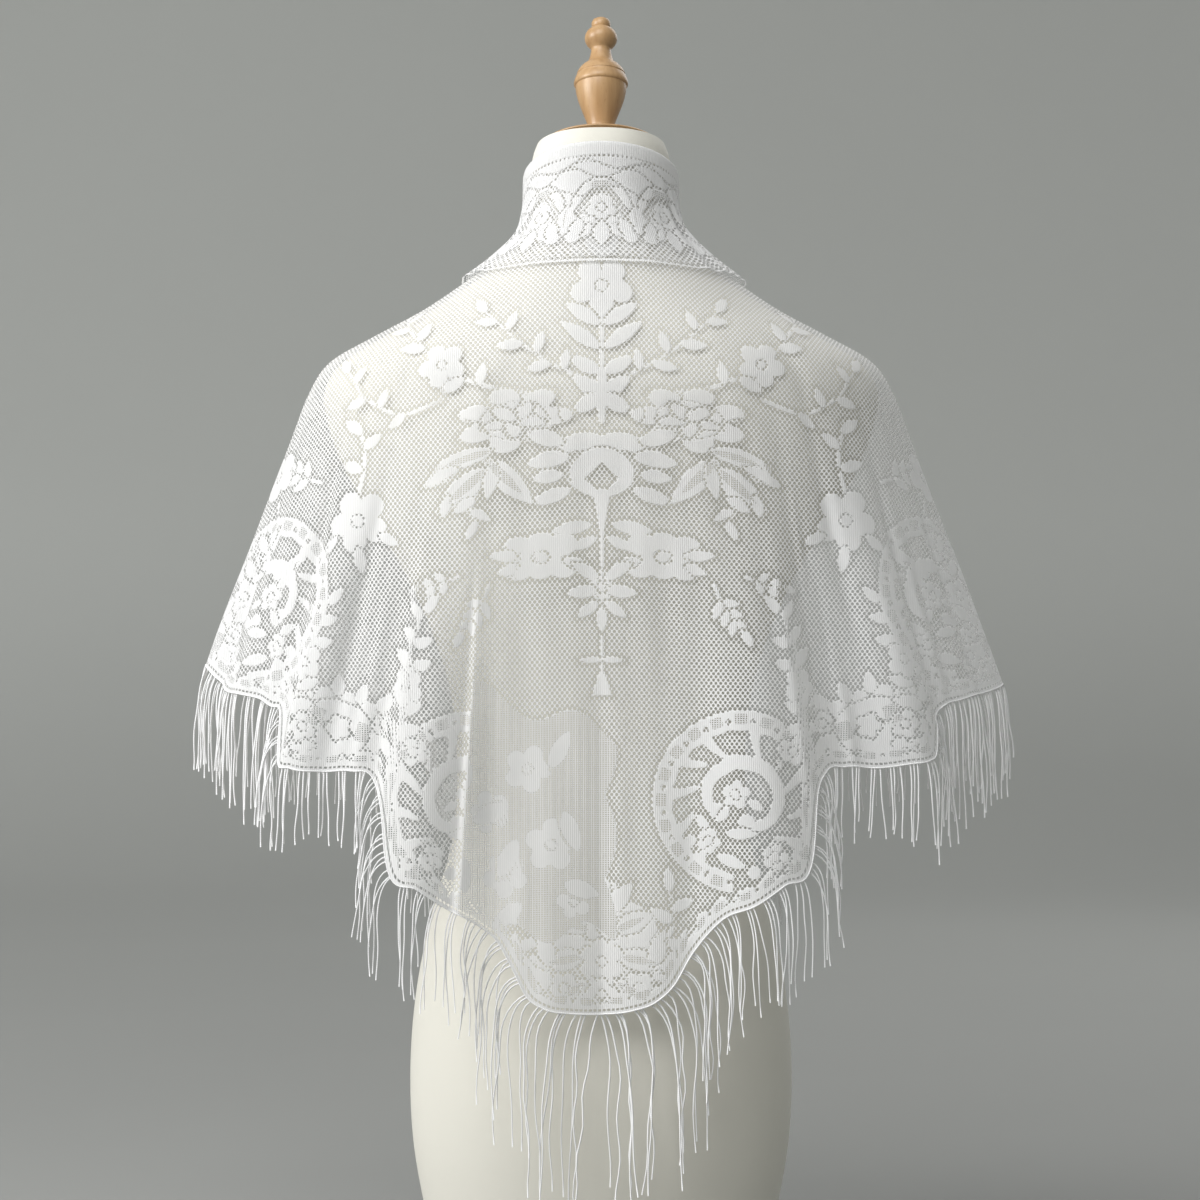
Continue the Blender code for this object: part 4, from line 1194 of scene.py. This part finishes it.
class ShawlFringeSettings(bpy.types.PropertyGroup):
    """Sizes of the fringe."""

    thread_radius: length_setting("Thread Radius", "Radius of one thread of the fringe",
                                  0.00070, 0.0001, 0.003)
    spacing: length_setting("Spacing", "Distance along the hem between two threads", 0.0051, 0.001, 0.05)
    bend: length_setting("Bend", "Length over which a thread turns from the hem's square to straight down",
                         0.016, 0.001, 0.2)
    seed: bpy.props.IntProperty(name="Seed", description="Number that sets how the threads fall", default=23)


class ShawlFormSettings(bpy.types.PropertyGroup):
    """Colours of the dress form and its wood."""

    jersey_colour: colour_setting("Jersey", "Colour of the form's cover", (0.74, 0.72, 0.645))
    wood_colour: colour_setting("Wood", "Colour of the turned wood", (0.53, 0.34, 0.17))


class ShawlStageSettings(bpy.types.PropertyGroup):
    """The floor, the light and the camera."""

    paper_colour: colour_setting("Paper", "Colour of the floor and backdrop", (0.72, 0.73, 0.70))
    key_power: power_setting("Key Light", "Power of the large soft light at the left", 108.0)
    fill_power: power_setting("Fill Light", "Power of the weak light beyond the form", 26.0)
    top_power: power_setting("Top Light", "Power of the light above the camera", 50.0)
    camera_distance: length_setting("Camera Distance", "From the form's axis to the camera", 2.6, 0.5, 9.0)
    camera_height: length_setting("Camera Height", "Height of the camera above the floor", 0.566, 0.0, 3.0)
    frame_height: length_setting("Frame Height", "Height of the picture at the form's axis", 0.984, 0.1, 5.0)


class ShawlPiece(bpy.types.Operator):
    """Makes one kind of piece of the shawl and its form."""

    bl_options = {"REGISTER", "UNDO"}

    def execute(self, context):
        self.make(context.scene)
        return {"FINISHED"}


class LACESHAWL_OT_camera(ShawlPiece):
    """Sets the camera level, behind the shawl"""

    bl_idname = "lace_shawl.camera"
    bl_label = "Camera"

    def make(self, scene):
        stage = scene.lace_shawl_stage
        data = bpy.data.cameras.new("camera")
        data.sensor_width = SENSOR_WIDTH
        data.lens = SENSOR_WIDTH * stage.camera_distance / stage.frame_height
        camera = bpy.data.objects.new("camera", data)
        camera.location = (CAMERA_ASIDE, -stage.camera_distance, stage.camera_height)
        camera.rotation_euler = (math.pi / 2, 0, 0)
        scene.collection.objects.link(camera)
        scene.camera = camera


class LACESHAWL_OT_torso(ShawlPiece):
    """Makes the dress form's torso with its jersey cover"""

    bl_idname = "lace_shawl.torso"
    bl_label = "Dress Form"

    def make(self, scene):
        columns = FORM_COLUMNS
        angle = np.arange(columns) * math.tau / columns
        heights = np.linspace(0, FORM_SECTIONS[-1][0], FORM_ROWS)[:, None] * np.ones(columns)
        rings = placed(form_radius(heights, angle), angle, heights)
        underside = rings[0] * (1, 1, 0)
        corner = np.linspace(0, math.pi / 2, FORM_EDGE_ROWS + 1)[:-1, None, None]
        drawn_in = 1 - FORM_EDGE_ROUND / FORM_SECTIONS[0][1] * (1 - np.sin(corner))
        foot = underside * drawn_in + (1 - np.cos(corner)) * FORM_EDGE_ROUND * UP
        above = rings[heights[:, 0] > FORM_EDGE_ROUND * 1.2]
        points = np.concatenate([foot, above])[::-1]
        rows = len(points)
        strides = np.linalg.norm(np.roll(points, -1, axis=1) - points, axis=2)
        around = np.cumsum(strides, axis=1) / MM
        knit = np.stack([around, points[..., 2] / MM, np.zeros_like(around)], axis=-1)
        ends = [np.arange(columns)[::-1], np.arange((rows - 1) * columns, rows * columns)]
        torso = shape_from("torso", points, grid_quads(rows, columns, closed=True)[:, ::-1],
                           jersey_look("ivory_jersey", scene.lace_shawl_form.jersey_colour),
                           [("knit", knit)], ends)
        torso.data.set_sharp_from_angle(angle=FORM_SHARP)
        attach(torso, BODY)
        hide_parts("form_body")


def turned(name, profile, columns, foot, look):
    """A body turned from a profile round the neck's leaning axis: rings of points, and a flat face at each
    end."""
    radius, height = columns_of(profile)
    angle = np.arange(columns) * math.tau / columns
    across = radius[:, None] * np.cos(angle)
    along = radius[:, None] * np.sin(angle)
    up = height[:, None] * np.ones(columns)
    lean_y = along * math.cos(NECK_LEAN) + up * math.sin(NECK_LEAN)
    lean_z = up * math.cos(NECK_LEAN) - along * math.sin(NECK_LEAN)
    points = np.stack([across, lean_y, lean_z], axis=-1) + foot
    rows = len(profile)
    ends = [np.arange(columns)[::-1], np.arange((rows - 1) * columns, rows * columns)]
    return shape_from(name, points, grid_quads(rows, columns, closed=True)[:, ::-1], look, (), ends)


class LACESHAWL_OT_wood(ShawlPiece):
    """Turns the neck cap and the finial in beech"""

    bl_idname = "lace_shawl.wood"
    bl_label = "Neck Cap and Finial"

    def make(self, scene):
        look = beech_look("turned_beech", scene.lace_shawl_form.wood_colour)
        up = np.array([0, math.sin(NECK_LEAN), math.cos(NECK_LEAN)])
        top = FORM_SECTIONS[-1][0]
        centre = np.array([0, CAP_CENTRE_FORWARD, top - CAP_CENTRE_FORWARD * math.tan(NECK_LEAN)])
        cap_foot = centre + up * CAP_GAP
        finial_foot = cap_foot + up * (CAP_PROFILE[-1][1] + CAP_GAP)
        for name, node, profile, foot in (("cap_of_beech", "neck_cap", CAP_PROFILE, cap_foot),
                                          ("finial_of_beech", "finial", FINIAL_PROFILE, finial_foot)):
            made = turned(name, profile, WOOD_COLUMNS, foot, look)
            made.data.set_sharp_from_angle(angle=WOOD_SHARP)
            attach(made, BODY)
            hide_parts(node)


def flat_size(across, down):
    """The width, length and area of a stretch on the flat cloth: its box, and its quads by their
    diagonals."""
    x, y = across * MM, down * MM
    falling = x[1:, 1:] - x[:-1, :-1], y[1:, 1:] - y[:-1, :-1]
    rising = x[1:, :-1] - x[:-1, 1:], y[1:, :-1] - y[:-1, 1:]
    cross = falling[0] * rising[1] - rising[0] * falling[1]
    return (float(np.ptp(x)), float(np.ptp(y))), float(np.abs(cross).sum() / 2)


class LACESHAWL_OT_cloth(ShawlPiece):
    """Hangs the lace of the back, of each wing and of each front"""

    bl_idname = "lace_shawl.cloth"
    bl_label = "Lace"

    def make(self, scene):
        look = lace_look("white_lace", scene.lace_shawl_lace)
        grid = shawl_grid()
        for name, node, _, start, end in STRETCHES:
            held = (grid["turns"] >= start) & (grid["turns"] <= end)
            points = grid["points"][:, held]
            place = np.stack([grid["across"], grid["down"], grid["fields"]["dense"]], axis=-1)[:, held]
            edge = np.stack([grid["along"], grid["inset"], grid["fields"]["gauze"]], axis=-1)[:, held]
            sheet = shape_from(name, points, grid_quads(*points.shape[:2]), look,
                               [("flat_place", place), ("flat_edge", edge)])
            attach(sheet, BODY)
            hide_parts(node)


class LACESHAWL_OT_fringe(ShawlPiece):
    """Sews the cord and the fringe along the hem of each stretch of lace"""

    bl_idname = "lace_shawl.fringe"
    bl_label = "Hem Cord and Fringe"

    def make(self, scene):
        settings = scene.lace_shawl_fringe
        look = thread_look("white_thread", scene.lace_shawl_lace)
        grid = shawl_grid()
        rng = np.random.default_rng(settings.seed)
        leaving = leaving_directions(grid["points"])
        for name, _, fringe_node, start, end in STRETCHES:
            sheet = bpy.data.objects.get(name)
            if sheet is None:
                raise RuntimeError(f"The lace called {name} hangs first, then its fringe")
            held = (grid["turns"] >= start) & (grid["turns"] <= end)
            hem = grid["points"][-1, held]
            cord = hem_cord(name.replace("lace", "hem_cord"), hem, look)
            fall = hang_fringe(name.replace("lace", "fringe"), grid["turns"][held], hem, leaving[held],
                               settings, look, rng)
            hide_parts(fringe_node)
            for piece in (cord, fall):
                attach(piece, BODY)
            size, area = flat_size(grid["across"][:, held], grid["down"][:, held])


def leaving_directions(points):
    """Away from the hem, square to it within the cloth: the hem's own direction crossed with the cloth's
    normal, and evened out over a few columns."""
    along = unit(np.gradient(points[-1], axis=0))
    away = unit(np.cross(along, normals_of(points)[-1]))
    away *= np.where(away[:, 2:] > 0, -1, 1)
    kernel = np.ones(EVENED_OVER) / EVENED_OVER
    padded = np.pad(away, ((EVENED_OVER // 2, EVENED_OVER // 2), (0, 0)), mode="edge")
    return unit(np.stack([np.convolve(padded[:, axis], kernel, "valid") for axis in range(3)], axis=1))


def hem_cord(name, edge, look):
    """A thin cord along a stretch of the hem."""
    paths = edge[None]
    outward = unit(edge * (1, 1, 0))[None]
    radii = np.full(paths.shape[:2], CORD_RADIUS)
    points, quads, ends, twist = tubes(paths, radii, CORD_SIDES, outward)
    return shape_from(name, points, quads, look, [("twist", twist)], ends)


def hang_fringe(name, turns, edge, leaving, settings, look, rng):
    """Threads along a stretch of the hem, drawn together in threes. At each step a thread's direction is its
    way out of the hem, fading by e to the minus distance over its bend, and straight down for the rest, with
    two slow waves to the sides that grow with the distance. Threads are then kept clear of the form."""
    fallen = np.concatenate([[0], np.cumsum(np.linalg.norm(np.diff(edge, axis=0), axis=1))])
    count = int(fallen[-1] / settings.spacing)
    roots = (np.arange(count) + 0.5) * fallen[-1] / count
    pull = (1 - np.arange(count) % 3) * rng.uniform(0.12, 0.62, count)
    shift = (pull + rng.uniform(-0.12, 0.12, count)) * settings.spacing
    roots = np.clip(roots + shift, MM, fallen[-1] - MM)
    root_turns = np.interp(roots, fallen, turns)

    def at(values):
        """Values of the hem at the threads' roots."""
        return np.stack([np.interp(roots, fallen, values[:, axis]) for axis in range(3)], axis=1)

    def drawn(low, high):
        """One number for each thread, the same for all its steps."""
        return rng.uniform(low, high, count)[:, None]

    start, out = at(edge), unit(at(leaving))
    lengths_at, lengths = columns_of(FRINGE_LENGTHS)
    length = curve(lengths_at, lengths, np.abs(root_turns)) * rng.uniform(0.86, 1.06, count)
    length *= np.where(rng.uniform(size=count) < SHORT_THREADS, SHORT_LENGTH, 1.0)
    share = np.linspace(0, 1, THREAD_STEPS) ** 1.15
    gone = length[:, None] * share
    hold = np.exp(-gone / (settings.bend * drawn(0.55, 1.5)))[..., None]
    sideways = unit(np.cross(UP, start * (1, 1, 0)))
    outward = unit(start * (1, 1, 0))
    beside_tail = np.sign(root_turns) * np.exp(-((np.abs(root_turns) - 8) / 8) ** 2)
    out = unit(out + sideways * (beside_tail[:, None] * drawn(0.5, 1.3)))
    drift = sideways * rng.normal(0, DRIFT_ASIDE, count)[:, None]
    drift = drift + outward * rng.normal(0, DRIFT_OUT, count)[:, None]
    direction = unit(out[:, None] * hold + (drift[:, None] - UP) * (1 - hold))
    strides = np.diff(gone, axis=1)[..., None] * (direction[:, 1:] + direction[:, :-1]) / 2
    paths = np.concatenate([start[:, None], start[:, None] + np.cumsum(strides, axis=1)], axis=1)
    for axis, most in ((sideways, WAVE_ASIDE), (outward, WAVE_OUT)):
        wave = np.sin(gone * (math.tau / drawn(0.045, 0.110)) + drawn(0, 6))
        paths += axis[:, None] * (wave * most * eased(gone / 0.05) * drawn(0.3, 1.2))[..., None]
    angle = np.arctan2(paths[..., 0], -paths[..., 1])
    least = form_radius(paths[..., 2], angle) + THREAD_CLEAR + settings.thread_radius
    radius = np.hypot(paths[..., 0], paths[..., 1])
    paths[..., :2] *= np.maximum(1, least / radius)[..., None]
    radii = settings.thread_radius * (1.05 - 0.20 * share) * np.ones((count, 1))
    facing = np.broadcast_to(outward[:, None], paths.shape)
    points, quads, ends, twist = tubes(paths, radii, THREAD_SIDES, facing)
    return shape_from(name, points, quads, look, [("twist", twist)], ends)


class LACESHAWL_OT_collar(ShawlPiece):
    """Turns the border down round the neck"""

    bl_idname = "lace_shawl.collar"
    bl_label = "Collar"

    def make(self, scene):
        grid = shawl_grid()
        turns = grid["turns"]
        edge_turns, edge_falls, edge_lifts = columns_of(COLLAR_EDGE)
        fall = curve(edge_turns, edge_falls, turns)
        stand_off = curve(edge_turns, edge_lifts, turns)
        share = np.linspace(0, 1, COLLAR_ROWS)[:, None]
        under = read_down(grid["lifted"], grid["fallen"], share * fall)
        out = normals_of(under)
        rise = np.zeros_like(under[..., 0])
        for middle, half_width, most, drift in COLLAR_FOLDS:
            away = (turns - middle - drift * share) / half_width
            rise += most * np.exp(-(away**2)) * eased(share * 1.6)
        start_lift = CLOTH_WALL + COLLAR_LIFT
        lift = start_lift + (COLLAR_REST + stand_off * COLLAR_LOOSE - start_lift) * eased(share) + rise
        hung = under + out * lift[..., None]
        roll_angle = np.linspace(math.pi, 0, ROLL_ROWS + 1)[:-1, None, None]
        half = start_lift / 2
        roll = under[0] + out[0] * half * (1 + np.cos(roll_angle)) + UP * half * np.sin(roll_angle) * 1.1
        points = np.concatenate([roll, hung])
        strides = np.linalg.norm(np.diff(points, axis=0), axis=2)
        down = np.vstack([np.zeros(len(turns)), np.cumsum(strides, axis=0)]) / MM
        middle_row = points[len(points) // 2]
        along = np.concatenate([[0], np.cumsum(np.linalg.norm(np.diff(middle_row, axis=0), axis=1))]) / MM
        along = (along - along[np.argmin(np.abs(turns))]) * np.ones_like(down)
        edge = down[-1] - down
        fields = draw_collar(along, down, edge)
        place = np.stack([along, down, fields["dense"]], axis=-1)
        edges = np.stack([along, edge, fields["gauze"]], axis=-1)
        collar = shape_from("collar_lace", points, grid_quads(*points.shape[:2]),
                            lace_look("collar_white_lace", scene.lace_shawl_lace),
                            [("flat_place", place), ("flat_edge", edges)])
        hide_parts("lace_collar")
        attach(collar, BODY)
        _, area = flat_size(along, down)


class LACESHAWL_OT_stage(ShawlPiece):
    """Lays the floor and its round backdrop, and sets the soft lights"""

    bl_idname = "lace_shawl.stage"
    bl_label = "Stage"

    def make(self, scene):
        stage = scene.lace_shawl_stage
        rows, columns = STAGE_ROWS, STAGE_COLUMNS
        bend = np.linspace(0, math.pi / 2, rows)
        floor = np.linspace(FLOOR_START, FLOOR_RADIUS - 0.2, rows)
        wall = FLOOR_RADIUS + BEND_RADIUS
        radius = np.concatenate([floor, FLOOR_RADIUS + BEND_RADIUS * np.sin(bend), [wall]])
        height = np.concatenate([np.zeros(rows), BEND_RADIUS * (1 - np.cos(bend)), [BACKDROP_TOP]])
        angle = np.arange(columns) * math.tau / columns
        points = np.stack([radius[:, None] * np.cos(angle), radius[:, None] * np.sin(angle),
                           height[:, None] * np.ones(columns)], axis=-1)
        backdrop = shape_from("backdrop", points, grid_quads(len(points), columns, closed=True),
                              paper_look("grey_paper", stage.paper_colour), (), [np.arange(columns)])
        for name, place, size, power, aim in LAMPS:
            data = bpy.data.lights.new(name, "AREA")
            data.energy = getattr(stage, power)
            data.size = size
            light = bpy.data.objects.new(name, data)
            light.location = place
            light.visible_camera = False
            towards = np.array(aim) - np.array(place)
            yaw = math.atan2(towards[1], towards[0])
            pitch = math.atan2(math.hypot(towards[0], towards[1]), -towards[2])
            light.rotation_euler = (pitch, 0, yaw - math.pi / 2)
            scene.collection.objects.link(light)
        world = bpy.data.worlds.new("soft_room")
        world.use_nodes = True
        room = world.node_tree.nodes["Background"]
        room.inputs["Color"].default_value = ROOM_COLOUR
        room.inputs["Strength"].default_value = ROOM_STRENGTH
        scene.world = world
        scene.view_settings.view_transform = "Standard"


class LACESHAWL_PT_panel(bpy.types.Panel):
    """The sidebar panel with all pieces and their sizes"""

    bl_label = "Lace Shawl"
    bl_idname = "LACESHAWL_PT_panel"
    bl_space_type = "VIEW_3D"
    bl_region_type = "UI"
    bl_category = "Lace Shawl"

    def draw(self, context):
        for maker in MAKERS:
            self.layout.operator(maker.bl_idname)
        for title in SETTINGS:
            group = getattr(context.scene, title)
            box = self.layout.box()
            for name in group.__annotations__:
                box.prop(group, name)


MAKERS = (LACESHAWL_OT_camera, LACESHAWL_OT_torso, LACESHAWL_OT_wood, LACESHAWL_OT_cloth,
          LACESHAWL_OT_fringe, LACESHAWL_OT_collar, LACESHAWL_OT_stage)
SETTINGS = {"lace_shawl_lace": ShawlLaceSettings, "lace_shawl_fringe": ShawlFringeSettings,
            "lace_shawl_form": ShawlFormSettings, "lace_shawl_stage": ShawlStageSettings}


def register():
    """Adds the settings, the operators and the panel."""
    for title, group in SETTINGS.items():
        bpy.utils.register_class(group)
        setattr(bpy.types.Scene, title, bpy.props.PointerProperty(type=group))
    for maker in (*MAKERS, LACESHAWL_PT_panel):
        bpy.utils.register_class(maker)


def unregister():
    """Takes them away again, the last first."""
    for maker in (LACESHAWL_PT_panel, *reversed(MAKERS)):
        bpy.utils.unregister_class(maker)
    for title, group in reversed(SETTINGS.items()):
        delattr(bpy.types.Scene, title)
        bpy.utils.unregister_class(group)


def main():
    """Makes all the pieces in order."""
    register()
    bpy.ops.lace_shawl.camera()
    bpy.ops.lace_shawl.torso()
    bpy.ops.lace_shawl.wood()
    bpy.ops.lace_shawl.cloth()
    bpy.ops.lace_shawl.fringe()
    bpy.ops.lace_shawl.collar()
    bpy.ops.lace_shawl.stage()


if __name__ == "__main__":
    main()
